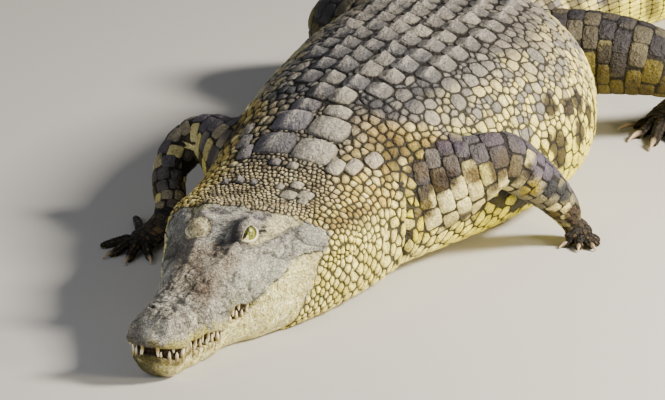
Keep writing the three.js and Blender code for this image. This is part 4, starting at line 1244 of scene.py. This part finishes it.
# The limbs: rings of tiles, large outside and small towards the foot; bands across the toes.
for number, limb in enumerate(LIMBS):
    rows = limb["curve"]
    t_fine = np.linspace(0, len(rows) - 1, 400)
    centre = limb_axes(rows, t_fine)[0]
    length = np.concatenate([[0], np.cumsum(np.linalg.norm(np.diff(centre, axis=0), axis=1))])
    most = 36 if limb["webbed"] else 31
    size = profile(
        (0, most), (0.5 * length[-1], most), (0.72 * length[-1], 27), (0.86 * length[-1], 18),
        (length[-1], 11),
    )
    marks = [62.0]
    while marks[-1] < length[-1] - 4:
        marks.append(marks[-1] + size(marks[-1]))
    t = np.interp(marks, length, t_fine)
    region = FIRST_LIMB + number
    tiles = []
    for k, place_t in enumerate(t):
        _, wide, high, _, _, _ = limb_axes(rows, np.array([place_t]))
        count = max(7, int(round(np.pi * (wide[0] + high[0]) / (size(marks[k]) * 1.6))))
        angle = (np.arange(count) + 0.5 * (k % 2) + scatter.uniform(-0.08, 0.08, count)) / count * 2 * np.pi
        near = np.clip(place_t + np.array([-0.05, 0, 0.05]), 0, len(rows) - 1)
        behind, p, ahead = (limb_point(rows, np.full(count, q), angle, FLESH_SUNK) for q in near)
        ends = [t[min(max(k + d, 0), len(t) - 1)] for d in (-1, 1)]
        pair = [limb_point(rows, np.full(count, q), angle, FLESH_SUNK) for q in ends]
        down = np.linalg.norm(pair[1] - pair[0], axis=1) / (3.85 if 0 < k < len(t) - 1 else 2)
        bend = 2 * np.pi / count
        over = np.linalg.norm(np.roll(p, -1, 0) - np.roll(p, 1, 0), axis=1) / 4 * bend / np.sin(bend) * 1.04
        u = np.full(count, 0.02 + 0.44 * marks[k] / length[-1])
        on_foot = np.full(count, ramp(place_t, len(rows) - 3.6, len(rows) - 2.4))
        chart_v = 0.62 + 0.09 * number + 0.08 * angle / 7
        tiles.append(np.column_stack([p, ahead - behind, down, over, u, chart_v, on_foot]))
    tiles = np.concatenate(tiles)
    sow(
        region, tiles[:, :3], tiles[:, 3:6], tiles[:, 6], tiles[:, 7], np.minimum(tiles[:, 6] * 0.22, 3.6),
        tiles[:, 8:10], rank=1, square=8, limb=1, foot=tiles[:, 10],
    )
    for digit, toe in enumerate(limb["toes"]):
        rows_toe = toe_rows(limb, toe)
        t = np.linspace(0.7, 3.9, 9 if limb["webbed"] else 7)
        angle = (np.arange(6) + 0.5) / 6 * 2 * np.pi
        t_grid, angle_grid = np.meshgrid(t, angle, indexing="ij")
        p = limb_point(rows_toe, t_grid.ravel(), angle_grid.ravel(), TOE_SUNK).reshape(*t_grid.shape, 3)
        _, _, _, run, _, _ = limb_axes(rows_toe, t_grid.ravel())
        uv = np.stack([0.5 + 0.05 * digit + 0.01 * t_grid, 0.62 + 0.09 * number + 0.08 * angle_grid / 7], -1)
        sow_grid(region, p, run.reshape(p.shape), uv, 1.5, rank=2, square=4, limb=1.0, foot=1.0, closed=True)


# Small scales for whatever the rows leave bare, where the hide stretches from one part to another.
SPARE_PITCH = 23
spare = np.unique(np.round(skin_points / SPARE_PITCH), axis=0, return_index=True)[1]
spare = spare[(skin_s[spare] > skin_edge[spare] + 8) & (skin_points[spare, 2] > 4) & (skin_foot[spare] < 0.3)]
uv = body_chart(skin_s, skin_turn, np.sign(skin_out))[spare]
sow(
    BELLY, skin_points[spare], tail_ward(skin_s[spare]), 14, 12, 3, uv, rank=-1,
    limb=skin_limb[spare], foot=skin_foot[spare],
)


def nearest(points):
    """The nearest skin point and its normal, and how far away it is, for each point."""
    found = [skin_tree.find_nearest(p) for p in points.reshape(-1, 3).tolist()]
    where = np.array([tuple(hit[0]) for hit in found]).reshape(points.shape)
    facing = np.array([tuple(hit[1]) for hit in found]).reshape(points.shape)
    return where, facing, np.array([hit[3] for hit in found])


def neighbours(points, count):
    """The indices of each point's nearest others."""
    tree = KDTree(len(points))
    for k, p in enumerate(points.tolist()):
        tree.insert(p, k)
    tree.balance()
    return np.array([[hit[1] for hit in tree.find_n(p, count + 1)] for p in points.tolist()])[:, 1:]


def around_each(scale, count):
    """For each scale and each of its neighbours: which it is, how far, the direction, and how far each
    of the two reaches along it, by its own rounded shape."""
    root, run, across = scale["root"], scale["run"], scale["across"]
    near = neighbours(root, count)
    gap = root[near] - root[:, None]
    distance = np.maximum(np.linalg.norm(gap, axis=-1), 1e-6)
    direction = gap / distance[..., None]
    reach = []
    for index in (np.arange(len(root))[:, None], near):
        x = np.abs(np.sum(run[index] * direction, -1)) / scale["half_run"][index]
        y = np.abs(np.sum(across[index] * direction, -1)) / scale["half_across"][index]
        power = scale["power"][index]
        reach.append(1 / np.maximum((x**power + y**power) ** (1 / power), 1e-6))
    return near, distance, direction, *reach


pool = np.concatenate(seeds)
root, normal, far = nearest(pool[:, :3])
run = pool[:, 3:6] - normal * np.sum(pool[:, 3:6] * normal, 1)[:, None]
run /= np.linalg.norm(run, axis=1, keepdims=True)
scale = {"root": root, "normal": normal, "run": run, "across": np.cross(normal, run), "uv": pool[:, 6:8]}
fields = ("region", "half_run", "half_across", "height", "keel", "rank", "square", "limb", "foot", "batch")
scale.update(zip(fields, pool[:, 8:].T))
PEBBLE_POWER = 2.4  # a loose pebble's outline is nearly an ellipse
scale["power"] = np.where(scale["square"] > 0, scale["square"], PEBBLE_POWER)

# Left out: what lies flat on the floor or on the head's bare skin, what found no skin near it, and a
# limb's tiles where the limb is still inside the body.
on_floor = (root[:, 2] < 3) & (normal[:, 2] < -0.3)
seed_s, seed_out = station(root)
on_head = seed_s < head_end(turn_of(seed_s, seed_out, root[:, 2])) + 5
seed_s, seed_out = station(pool[:, :3])
body_turn = turn_of(seed_s, seed_out, pool[:, 2])
body_x, body_z = outline(seed_s, body_turn)
middle = wide_level(seed_s)
inside = np.hypot(seed_out, pool[:, 2] - middle) < np.hypot(body_x, body_z - middle) + 1
tiled_limb = (scale["limb"] > 0) & (scale["rank"] > 0)
keep = np.where(tiled_limb, (far < 32) & ~inside, far < 85) & ~on_floor & ~on_head
scale = {key: value[keep] for key, value in scale.items()}

# Scales that would lie under a higher-ranked one, or half under an equal, are left out: round by round,
# one stays when every rival of higher standing is already out, and goes when such a rival stays.
near, distance, direction, mine, theirs = around_each(scale, 30)
rank = scale["rank"]
above = rank[near] - rank[:, None]
crowded = (above > 0.01) & (distance < theirs * 0.92 + 0.45 * mine)
earlier = near < np.arange(len(rank))[:, None]
crowded |= (np.abs(above) <= 0.01) & (distance < 0.62 * (mine + theirs)) & earlier
state = np.zeros(len(rank), int)
for _ in range(40):
    state = np.where((crowded & (state[near] == 1)).any(1), -1, state)
    state = np.where((state == 0) & ~(crowded & (state[near] == 0)).any(1), 1, state)
scale = {key: value[state >= 0] for key, value in scale.items()}

# Each scale's outline: its own rounded shape, parted from its neighbours' by planes square to the line
# between them; plates and tiles keep their full shape, and smaller scales stay clear of them.
near, distance, direction, mine, theirs = around_each(scale, 20)
angles = np.radians([0, 36, 54, 90, 126, 144, 180, 216, 234, 270, 306, 324])  # corners closer together
ROUNDING = 18  # the power that rounds the corners where two cuts meet
stretched = np.arctan2(
    scale["half_across"][:, None] * np.sin(angles), scale["half_run"][:, None] * np.cos(angles)
)
towards = scale["run"][:, None] * np.cos(stretched)[..., None]
towards = towards + scale["across"][:, None] * np.sin(stretched)[..., None]
power = scale["power"][:, None]
own = (np.abs(np.cos(stretched)) / scale["half_run"][:, None]) ** power
own = (own + (np.abs(np.sin(stretched)) / scale["half_across"][:, None]) ** power) ** (-1 / power)
square = scale["square"] > 0
loose = np.where(square, 1.0, 1.8)[:, None]
rank = scale["rank"]
above = rank[near] - rank[:, None]
groove = np.minimum(1.8, 0.06 * (mine + theirs))
offset = (distance**2 + mine**2 - theirs**2) / (2 * distance) - groove / 2
offset = np.where((above > 0.01) & square[near], distance - theirs - groove, offset)
together = (scale["batch"][near] == scale["batch"][:, None]) & square[:, None]
offset = np.where(together | ((above < -0.01) & square[:, None]), 1e6, np.maximum(offset, 0.3 * mine))
leaning = np.einsum("nak,nbk->nab", towards, direction)
cut = (np.maximum(leaning, 1e-3) / offset[:, None]) ** ROUNDING
radius = (cut.sum(2) + (1 / (own * loose)) ** ROUNDING) ** (-1 / ROUNDING)

# Each lies on the skin all round its rim, domed over it, with a keel rising towards the tail.
rim = scale["root"][:, None] + towards * radius[..., None]
rim_drop = nearest(rim)[0] - rim
flatness = np.where(square, 9.0, 3.4)[:, None]
pushed = 0.3 * scale["half_run"] * (scale["keel"] > 6)
centre = scale["root"] + scale["normal"] * (scale["height"] + 1.05 * scale["keel"])[:, None]
centre += scale["run"] * pushed[:, None]
rings = [centre[:, None]]
keel_shape = np.exp(-((np.sin(angles) / 0.3) ** 2)) * mix(0.35, 1.0, (1 + np.cos(angles)) / 2)
for part, sunk in SCALE_RINGS:
    dome = scale["height"][:, None] * np.maximum(1 - part**flatness, 0) + sunk
    keel = scale["keel"][:, None] * keel_shape * max(0, 1 - part**3)
    p = scale["root"][:, None] + towards * (radius * part)[..., None] + rim_drop * part**2
    rings.append(p + scale["normal"][:, None] * (dome + keel)[..., None])
points = np.concatenate(rings, 1)
points[..., 2] = np.maximum(points[..., 2], 0.3)
ring_part = np.concatenate([[0], np.repeat([part for part, _ in SCALE_RINGS], SCALE_SIDES)])
ring_angle = np.concatenate([[0], np.tile(angles, len(SCALE_RINGS))])

# Painted like the skin under them, near black at the rims as darker skin and painted shade in the
# grooves, paler on the keels as worn horn and a painted highlight, each a little different.
def each_point(key):
    """One value of each scale, for every point of it."""
    return np.repeat(scale[key], size, 0)


count, size = points.shape[:2]
tone = np.repeat(scatter.uniform(0, 1, count), size)
flat_points = points.reshape(-1, 3)
paint_job = markings(flat_points, each_point("normal"), each_point("limb"), each_point("foot"), tone)
shield = (scale["region"] == BACK) & (scale["rank"] == 3) & (station(scale["root"])[0] < 900)
# Painted light and shade on the neck shield's plates: lighter grey on the left, which faces the lamps, and
# darker purple-grey on the right.
plate = np.repeat(np.where(scale["root"][:, :1] > 0, colour("#948f83"), colour("#5b5963")), size, 0)
on_shield = 0.8 * each_point("keel").clip(0, 1) * np.repeat(shield, size)
paint_job = mix(paint_job, plate, on_shield[:, None])
paint_job = paint_job * np.repeat(scatter.uniform(0.78, 1.16, count), size)[:, None]
# The rims are painted near black, as darker skin and painted shade in the grooves between scales.
groove_width = np.where(square, 2.0, np.where(scale["region"] == NAPE, 3.3, 2.8))
dark_from = 1 - groove_width / np.maximum(radius.mean(1), 6)
rim_dark = ramp(ring_part[None], dark_from[:, None], 0.985).ravel()
rim_dark = rim_dark * np.where(each_point("region") == FLANK, 0.9, 1)
paint_job = mix(paint_job, paint_job * 0.05 + colour("#1d150c") * 0.25, rim_dark[:, None])
# The keels' crests are painted pale, as worn horn and a painted highlight.
crest = np.tile(np.exp(-((np.sin(ring_angle) / 0.35) ** 2)) * fall(ring_part, 0.5, 0.9), count)
crest = crest * ramp(each_point("keel"), 2, 9)
paint_job = paint(paint_job, "#b0aaa0", 0.6 * crest)
local = np.stack([ring_part * np.cos(ring_angle), ring_part * np.sin(ring_angle)], 1)
chart = (scale["uv"][:, None] + 0.00145 * local).reshape(-1, 2)

fan = pole_faces(SCALE_SIDES, 1, 0)[:, [2, 0, 1]]
bands = grid_faces(len(SCALE_RINGS), SCALE_SIDES, 1)[:, ::-1]
names = ["neck_scales", "back_scutes", "flank_scales", "belly_scales", "tail_scales"]
names += [f"{limb['name']}_scales" for limb in LIMBS]
MOST = 2200  # scales in one piece


def set_chart(mesh, chart):
    """A map for baking colours, from one place per point."""
    layer = mesh.uv_layers.new(name="OFBake")
    corners = read(mesh, "loops", "vertex_index", 1, np.int32)
    layer.data.foreach_set("uv", chart[corners].astype(np.float32).ravel())


for number, name in enumerate(names):
    members = np.flatnonzero(scale["region"] == number)
    for start in range(0, len(members), MOST):
        group = members[start:start + MOST]
        base = (np.arange(len(group)) * size)[:, None, None]
        faces = [(base + part[None]).reshape(-1, part.shape[1]) for part in (fan, bands)]
        rows = (group[:, None] * size + np.arange(size)).ravel()
        piece = make_mesh(name, flat_points[rows], faces)
        set_colours(piece.data, paint_job[rows])
        set_numbers(piece.data, "bare", np.zeros(len(rows)))
        set_chart(piece.data, chart[rows])
        piece.data.materials.append(hide)
        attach(piece, "root")


# ---------------------------------------------------------------- crest of the tail
# Upright horny blades, in two rows that meet and go on as one to the tail's tip.
BLADE_SIDES = 10
BLADE_LEVELS = (0, 0.3, 0.55, 0.75, 0.9, 0.98)
blade_height = profile((2130, 14), (2450, 34), (2900, 56), (3250, 62), (3700, 46), (3960, 20))
blade_pitch = profile((2130, 50), (2900, 52), (3500, 44), (3960, 30))
blade_spread = profile((2130, 52), (2450, 40), (2800, 20), (2900, 9))
blades = []
s = 2130.0
while s < 3960:
    blades += [(s, side * blade_spread(s)) for side in (1, -1)] if s < 2900 else [(s, 0)]
    s += blade_pitch(s)
s, out = np.array(blades, float).T
pitch, high = blade_pitch(s), blade_height(s)
base = top_height(s) - 16 - (out / half_width(s)) ** 2 * 20
level = np.array(BLADE_LEVELS)[None, :, None]
turn = (np.arange(BLADE_SIDES) / BLADE_SIDES * 2 * np.pi)[None, None]
front, back = mix(-0.46, 0.47, level**1.25), mix(0.45, 0.49, level)
lengthwise = ((front + back) / 2 + (back - front) / 2 * np.cos(turn)) * pitch[:, None, None]
thick = np.maximum(2.0, 0.085 * high)[:, None, None] * (1 - 0.8 * level) * mix(1.6, 1, ramp(level, 0, 0.4))
sideways = thick * np.sin(turn)
lift = (base[:, None, None] + (high + 15)[:, None, None] * level) + 0 * turn
s_all = np.clip(s[:, None, None] + lengthwise, 0, LENGTH)
SPLAY = 0.08  # how far the paired blades lean out for each mm they rise
leaning = SPLAY * np.sign(out)[:, None, None] * (lift - base[:, None, None])
p = place(s_all, out[:, None, None] + sideways + leaning, lift)
tip = place(s + 0.485 * pitch, out + SPLAY * np.sign(out) * (high + 16), base + high + 15.4)
p = np.concatenate([p.reshape(len(s), -1, 3), tip[:, None]], 1)
each = p.shape[1]
cap = pole_faces(BLADE_SIDES, (len(BLADE_LEVELS) - 1) * BLADE_SIDES, each - 1)
shift = (np.arange(len(s)) * each)[:, None, None]
sides = grid_faces(len(BLADE_LEVELS), BLADE_SIDES)
faces = [(shift + part[None]).reshape(-1, part.shape[1]) for part in (sides, cap)]
crest_piece = make_mesh("tail_crest", p, faces)
flat_p = p.reshape(-1, 3)
tone = np.repeat(scatter.uniform(0, 1, len(s)), each)
level_all = np.tile(np.concatenate([np.repeat(BLADE_LEVELS, BLADE_SIDES), [1]]), len(s))
blade_colour = paint(ground("#6e675d", flat_p), "#4a4238", ramp(tone, 0.2, 0.9))
blade_colour = paint(blade_colour, "#a89b84", 0.7 * ramp(level_all, 0.6, 1))
blade_colour = paint(blade_colour, "#241c12", 0.8 * fall(level_all, 0.1, 0.35))
set_colours(crest_piece.data, blade_colour)
set_numbers(crest_piece.data, "bare", np.zeros(len(flat_p)))
across_chart = np.tile(np.concatenate([np.tile(np.sin(turn[0, 0]), len(BLADE_LEVELS)), [0]]), len(s))
chart_u = 0.02 + 0.96 * np.repeat(s, each) / LENGTH + 0.0014 * (level_all - 0.5)
chart_v = 0.3 + 0.02 * np.sign(np.repeat(out, each)) + 0.0014 * across_chart
chart = np.stack([chart_u, chart_v], 1)
set_chart(crest_piece.data, chart)
crest_piece.data.materials.append(hide)
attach(crest_piece, "root")


# ---------------------------------------------------------------- eyes and lid margins
# Lime-yellow eyes under a wet clear cornea, each with a dark upright slit, turned towards the front,
# and round each the pale thickened edge of the lids.
BALL_RINGS, BALL_SIDES = 28, 40
IRIS_RADIUS = 17.5
# A wet cornea over a mottled iris: a thin clear coat gives one small sharp light, and the iris under it
# is lime yellow, darker at its rim, there also as painted shade under the lids' edges, with a near-black
# slit and the pale third eyelid in the front corner.
wet, tree, shader = material("wet eye")
spread = node(tree, "ShaderNodeAttribute", attribute_name="spread").outputs["Fac"]
slit_gap = node(tree, "ShaderNodeAttribute", attribute_name="slit").outputs["Fac"]
position = node(tree, "ShaderNodeTexCoord").outputs["Object"]
grain = node(tree, "ShaderNodeTexNoise", {"Vector": position, "Scale": 380.0, "Detail": 3.0})
wobble = node(tree, "ShaderNodeMath", {0: grain.outputs["Fac"], 1: 0.12, 2: spread}, operation="MULTIPLY_ADD")
iris = node(tree, "ShaderNodeValToRGB", {"Fac": wobble.outputs[0]})
stops = iris.color_ramp.elements
stops[0].position, stops[0].color = 0.0, (*colour("#62640e"), 1)
stops[1].position, stops[1].color = 0.95, (*colour("#26270d"), 1)
for place_on, code in ((0.35, "#60640c"), (0.7, "#777c14")):
    stop = stops.new(place_on)
    stop.color = (*colour(code), 1)
dark = node(tree, "ShaderNodeMapRange", {"Value": slit_gap, "From Min": -0.35, "From Max": 0.35})
coloured = node(
    tree, "ShaderNodeMix",
    {"Factor": dark.outputs[0], 6: (0.004, 0.004, 0.003, 1), 7: iris.outputs["Color"]}, data_type="RGBA",
)
haw = node(tree, "ShaderNodeAttribute", attribute_name="haw").outputs["Fac"]
folded = node(
    tree, "ShaderNodeMix",
    {"Factor": haw, 6: coloured.outputs[2], 7: (*colour("#d9d4a4"), 1)}, data_type="RGBA",
)
tree.links.new(folded.outputs[2], shader.inputs["Base Color"])
shader.inputs["Roughness"].default_value = 0.4
shader.inputs["Specular IOR Level"].default_value = 0.2
shader.inputs["Coat Weight"].default_value = 0.3
shader.inputs["Coat Roughness"].default_value = 0.04
# Thin moist skin along the lids' edge: smoother than the hide, grey above and cream below.
margin, tree, shader = material("moist lid edge")
height = node(tree, "ShaderNodeAttribute", attribute_name="below").outputs["Fac"]
pale = node(tree, "ShaderNodeValToRGB", {"Fac": height})
stops = pale.color_ramp.elements
stops[0].position, stops[0].color = 0.3, (*colour("#a09a88"), 1)
stops[1].position, stops[1].color = 0.6, (*colour("#d3cba2"), 1)
tree.links.new(pale.outputs["Color"], shader.inputs["Base Color"])
shader.inputs["Roughness"].default_value = 0.45
RIM_STEPS, RIM_SIDES = 56, 10  # round the slit, and round the lid's edge

for side, name in ((1, "eye_left"), (-1, "eye_right")):
    centre, out, slit, up = eye_frame(side)
    gaze = np.array([0.78 * side, -0.52, 0.34])
    gaze /= np.linalg.norm(gaze)
    level = np.cross(gaze, up)
    level /= np.linalg.norm(level)
    rise = np.cross(level, gaze)
    tilt = np.linspace(0, np.pi, BALL_RINGS + 1)[1:-1, None]
    turn = np.arange(BALL_SIDES) / BALL_SIDES * 2 * np.pi
    x, y = np.sin(tilt) * np.cos(turn), np.sin(tilt) * np.sin(turn)
    ball = x[..., None] * level + y[..., None] * rise + np.cos(tilt)[..., None] * gaze + 0 * turn[:, None]
    p = np.concatenate([ball.reshape(-1, 3), [gaze, -gaze]]) * EYE["r"] + centre
    count = (BALL_RINGS - 1) * BALL_SIDES
    front = pole_faces(BALL_SIDES, 0, count)
    back = pole_faces(BALL_SIDES, count - BALL_SIDES, count + 1)[:, [1, 0, 2]]
    eye = make_mesh(f"{name}_ball", p, [grid_faces(BALL_RINGS - 1, BALL_SIDES)[:, ::-1], front, back])
    flat_across = np.concatenate([x.ravel(), [0, 0]]) * EYE["r"]
    flat_up = np.concatenate([y.ravel(), [0, 0]]) * EYE["r"]
    ahead = np.concatenate([(np.cos(tilt) + 0 * turn).ravel(), [1, -1]])
    from_axis = np.where(ahead > 0, np.hypot(flat_across, flat_up) / IRIS_RADIUS, 1.3)
    # The upper lid's shade falls across the front of the ball, and the third eyelid lies below it.
    forward = (p - centre) @ slit
    over_line = (p - centre) @ up - (9.6 - 0.5 * (forward - 2))
    lid_shade = (0.2 + 0.8 * hill(over_line, 1.4)) * ramp(over_line, -2.2, -1.0)
    from_axis = from_axis + lid_shade * ramp(forward, -6, 1)
    set_numbers(eye.data, "spread", from_axis)
    haw = ramp(forward + 0.43 * (p - centre) @ up, 9.6, 11) * fall(over_line, -2.8, -1.8)
    set_numbers(eye.data, "haw", haw * (ahead > 0))
    slit_width = 1.3 * np.maximum(1 - (flat_up / 12.5) ** 2, -0.6)
    set_numbers(eye.data, "slit", np.where(ahead > 0, np.abs(flat_across) - slit_width, 9))
    eye.data.materials.append(wet)
    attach(eye, "root")
    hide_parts(name)

    # The lid's edge, a soft rim carried round the slit, thicker below.
    f = np.arange(RIM_STEPS) / RIM_STEPS * 2 * np.pi
    m, k = LID_LENGTH * 0.98 * np.cos(f), LID_HEIGHT[side] * 0.98 * np.sin(f)
    k = np.where(m > 0, np.sign(k) * LID_HEIGHT[side] * np.abs(np.sin(f)) ** (2 / LID_POINT), k)
    a = np.sqrt(np.maximum(EYE["r"] ** 2 - m * m - k * k, 4))
    m, k, a = (value * (1 + 1.8 / EYE["r"]) for value in (m, k, a))
    ridge = centre + out * a[:, None] + slit * m[:, None] + up * k[:, None]
    run = np.roll(ridge, -1, 0) - np.roll(ridge, 1, 0)
    run /= np.linalg.norm(run, axis=1, keepdims=True)
    lift = (ridge - centre) / np.linalg.norm(ridge - centre, axis=1, keepdims=True)
    beside = np.cross(run, lift)
    g = np.arange(RIM_SIDES) / RIM_SIDES * 2 * np.pi
    thick = (3.1 - 2.2 * ramp(k, -9, 3))[:, None, None]
    g = g[:, None]
    ring = ridge[:, None] + thick * (np.cos(g) * beside[:, None] + np.sin(g) * lift[:, None])
    i, j = np.meshgrid(np.arange(RIM_STEPS), np.arange(RIM_SIDES), indexing="ij")
    here, beyond, j_next = i * RIM_SIDES, (i + 1) % RIM_STEPS * RIM_SIDES, (j + 1) % RIM_SIDES
    quads = np.stack([here + j, here + j_next, beyond + j_next, beyond + j], -1).reshape(-1, 4)
    turned = quads if np.cross(run[0], beside[0]) @ lift[0] < 0 else quads[:, ::-1]
    edge = make_mesh(f"lid_{name}", ring, [turned])
    set_numbers(edge.data, "below", np.repeat(1 - ramp(k, -8, 8), RIM_SIDES))
    edge.data.materials.append(margin)
    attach(edge, "root")


# ---------------------------------------------------------------- teeth
# Interlocking cones, stained yellow-brown at the root, that show where the jaws do not quite meet.
TOOTH_SIDES = 12
TOOTH_LEVELS = np.array([0, 0.25, 0.45, 0.62, 0.77, 0.9, 0.97])
rows = [(*tooth, 1, side) for tooth in UPPER_TEETH for side in (1, -1)]
rows += [(*tooth, -1, side) for tooth in LOWER_TEETH for side in (1, -1)]
s, inset, length, radius, jaw, side = np.array(rows, float).T
out = half_width(s) * snout_cap(s, SNOUT_ROUND) - np.where(jaw < 0, jaw_inset(s), 0) - inset
gum = lip_level(s) - np.where(jaw < 0, mouth_gap(s), 0)
ROOT_DEPTH = 7  # of each tooth sunk in the gum
part = TOOTH_LEVELS[None, :, None]
turn = (np.arange(TOOTH_SIDES) / TOOTH_SIDES * 2 * np.pi)[None, None]
wide = radius[:, None, None] * np.sqrt(1 - part**1.7)
drop = (ROOT_DEPTH + length)[:, None, None] * part - ROOT_DEPTH
level = (gum[:, None, None] - jaw[:, None, None] * drop) + 0 * turn
lean = 2.2 * (part - 0.4) ** 2 * np.sign(part - 0.4)
where = (out[:, None, None] + lean) * side[:, None, None] + wide * np.cos(turn)
p = place(s[:, None, None] + wide * np.sin(turn), where, level)
tip = place(s, (out + 0.8) * side, gum - jaw * length)
p = np.concatenate([p.reshape(len(s), -1, 3), tip[:, None]], 1)
each = p.shape[1]
cap = pole_faces(TOOTH_SIDES, (len(TOOTH_LEVELS) - 1) * TOOTH_SIDES, each - 1)
wall = grid_faces(len(TOOTH_LEVELS), TOOTH_SIDES)
base = (np.arange(len(s)) * each)[:, None, None]
faces = []
for shape in (wall, cap):
    pointing_up = (base + shape[None])[jaw < 0].reshape(-1, shape.shape[1])
    pointing_down = (base + shape[None, :, ::-1])[jaw > 0].reshape(-1, shape.shape[1])
    faces += [pointing_up, pointing_down]
teeth = make_mesh("teeth", p, faces)
# Enamel, worn and stained: smooth, so that each cone has a soft light down it, brown-yellow at the gum
# and clearing to ivory at the point.
enamel, tree, shader = material("stained enamel")
down = node(tree, "ShaderNodeAttribute", attribute_name="along").outputs["Fac"]
stain = node(tree, "ShaderNodeValToRGB", {"Fac": down})
stops = stain.color_ramp.elements
stops[0].position, stops[0].color = 0.35, (*colour("#93804a"), 1)
stops[1].position, stops[1].color = 0.8, (*colour("#e9dfbd"), 1)
tree.links.new(stain.outputs["Color"], shader.inputs["Base Color"])
shader.inputs["Roughness"].default_value = 0.35
set_numbers(teeth.data, "along", np.tile(np.concatenate([np.repeat(TOOTH_LEVELS, TOOTH_SIDES), [1]]), len(s)))
teeth.data.materials.append(enamel)
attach(teeth, "root")


# ---------------------------------------------------------------- claws
# Blunt curved horn on the three inner toes of each foot, dark at the root and worn pale at the tip.
p_all, faces_all, along_all = [], [[], [], []], []
for limb in LIMBS:
    for index in limb["claws"]:
        toe = limb["toes"][index]
        tip, end, size = np.array(toe[:2], float), np.array(limb["curve"][-1][:2], float), toe[2]
        way = (tip - end) / np.linalg.norm(tip - end)
        base, long = 0.42 * size, limb["claw_length"]
        steps = (
            (-0.3 * long, 0.75 * size, 0.9 * base), (0.1 * long, 0.86 * size, base),
            (0.55 * long, 0.68 * size, 0.62 * base), (long, 3.2, 1),
        )
        rows = [(*(tip + way * d), up, w, w * 1.1) for d, up, w in steps]
        places = np.linspace(0, 3, 13)
        p, faces = tube(rows, 12, places)
        first = sum(len(points) for points in p_all)
        for kind, shape in zip(faces_all, faces):
            kind.append(shape + first)
        p_all.append(p)
        along_all.append(np.concatenate([np.repeat(np.append(places, [3, 3]), 12) / 3, [0, 1]]))
claws = make_mesh("claws", np.concatenate(p_all), [np.concatenate(kind) for kind in faces_all])
# Horn scuffed by the ground: a low waxy gloss, nearly black-brown at the root and straw at the tip.
horn, tree, shader = material("worn horn")
down = node(tree, "ShaderNodeAttribute", attribute_name="along").outputs["Fac"]
shade = node(tree, "ShaderNodeValToRGB", {"Fac": down})
stops = shade.color_ramp.elements
stops[0].position, stops[0].color = 0.2, (*colour("#43362a"), 1)
stops[1].position, stops[1].color = 0.8, (*colour("#a89478"), 1)
tree.links.new(shade.outputs["Color"], shader.inputs["Base Color"])
shader.inputs["Roughness"].default_value = 0.45
set_numbers(claws.data, "along", np.concatenate(along_all))
claws.data.materials.append(horn)
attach(claws, "root")
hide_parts(*[f"claw_{limb['name']}_{k}" for limb in LIMBS for k in (1, 2, 3)])


# ---------------------------------------------------------------- floor, lights and camera
# A pale seamless floor, a soft lamp high on the animal's left, one before it and a low warm one between.
floor = make_mesh(
    "floor", [(-9000, -9000, 0), (9000, -9000, 0), (9000, 12000, 0), (-9000, 12000, 0)],
    [np.array([[0, 1, 2, 3]])],
)
# Matt background paper: no gloss at all, so that the floor only takes the lamps' soft pools and shadows.
paper, tree, shader = material("floor paper")
shader.inputs["Base Color"].default_value = (*colour("#bdbab4"), 1)
shader.inputs["Roughness"].default_value = 0.9
floor.data.materials.append(paper)

world = bpy.data.worlds.new("studio")
world.use_nodes = True
world.node_tree.nodes["Background"].inputs["Color"].default_value = (*colour("#dfe3ea"), 1)
world.node_tree.nodes["Background"].inputs["Strength"].default_value = 0.21
bpy.context.scene.world = world


def soft_lamp(name, azimuth, elevation, distance, size, power, code):
    """A square area lamp aimed at the trunk from the given direction."""
    a, e = math.radians(azimuth), math.radians(elevation)
    away = Vector((math.sin(a) * math.cos(e), -math.cos(a) * math.cos(e), math.sin(e)))
    light = bpy.data.lights.new(name, "AREA")
    light.size = size
    light.energy = power
    light.color = colour(code)
    lamp = bpy.data.objects.new(name, light)
    aim = Vector((0, -0.7, 0.2))
    turn = away.to_track_quat("Z", "Y").to_matrix().to_4x4()
    lamp.matrix_world = Matrix.Translation(aim + away * distance) @ turn
    bpy.context.scene.collection.objects.link(lamp)


soft_lamp("key", 102, 35, 5.0, 1.1, 820, "#fff8ec")
soft_lamp("fill", -15, 18, 5.0, 3.0, 88, "#eef2ff")
soft_lamp("bounce", 76, 10, 4.0, 1.0, 180, "#fff0cc")

AZIMUTH, ELEVATION, DISTANCE = math.radians(24), math.radians(18.5), 16
VIEW_ANGLE = math.radians(5.1715)
LOOKED_AT = Vector((0.1141156, -1.2434055, 0.209))
away = Vector((
    math.sin(AZIMUTH) * math.cos(ELEVATION), -math.cos(AZIMUTH) * math.cos(ELEVATION), math.sin(ELEVATION)
))
lens = bpy.data.cameras.new("camera")
lens.sensor_width = 36
lens.lens = 18 / math.tan(VIEW_ANGLE / 2)
lens.clip_end = 60
camera = bpy.data.objects.new("camera", lens)
turn = away.to_track_quat("Z", "Y").to_matrix().to_4x4()
camera.matrix_world = Matrix.Translation(LOOKED_AT + away * DISTANCE) @ turn
bpy.context.scene.collection.objects.link(camera)
bpy.context.scene.camera = camera
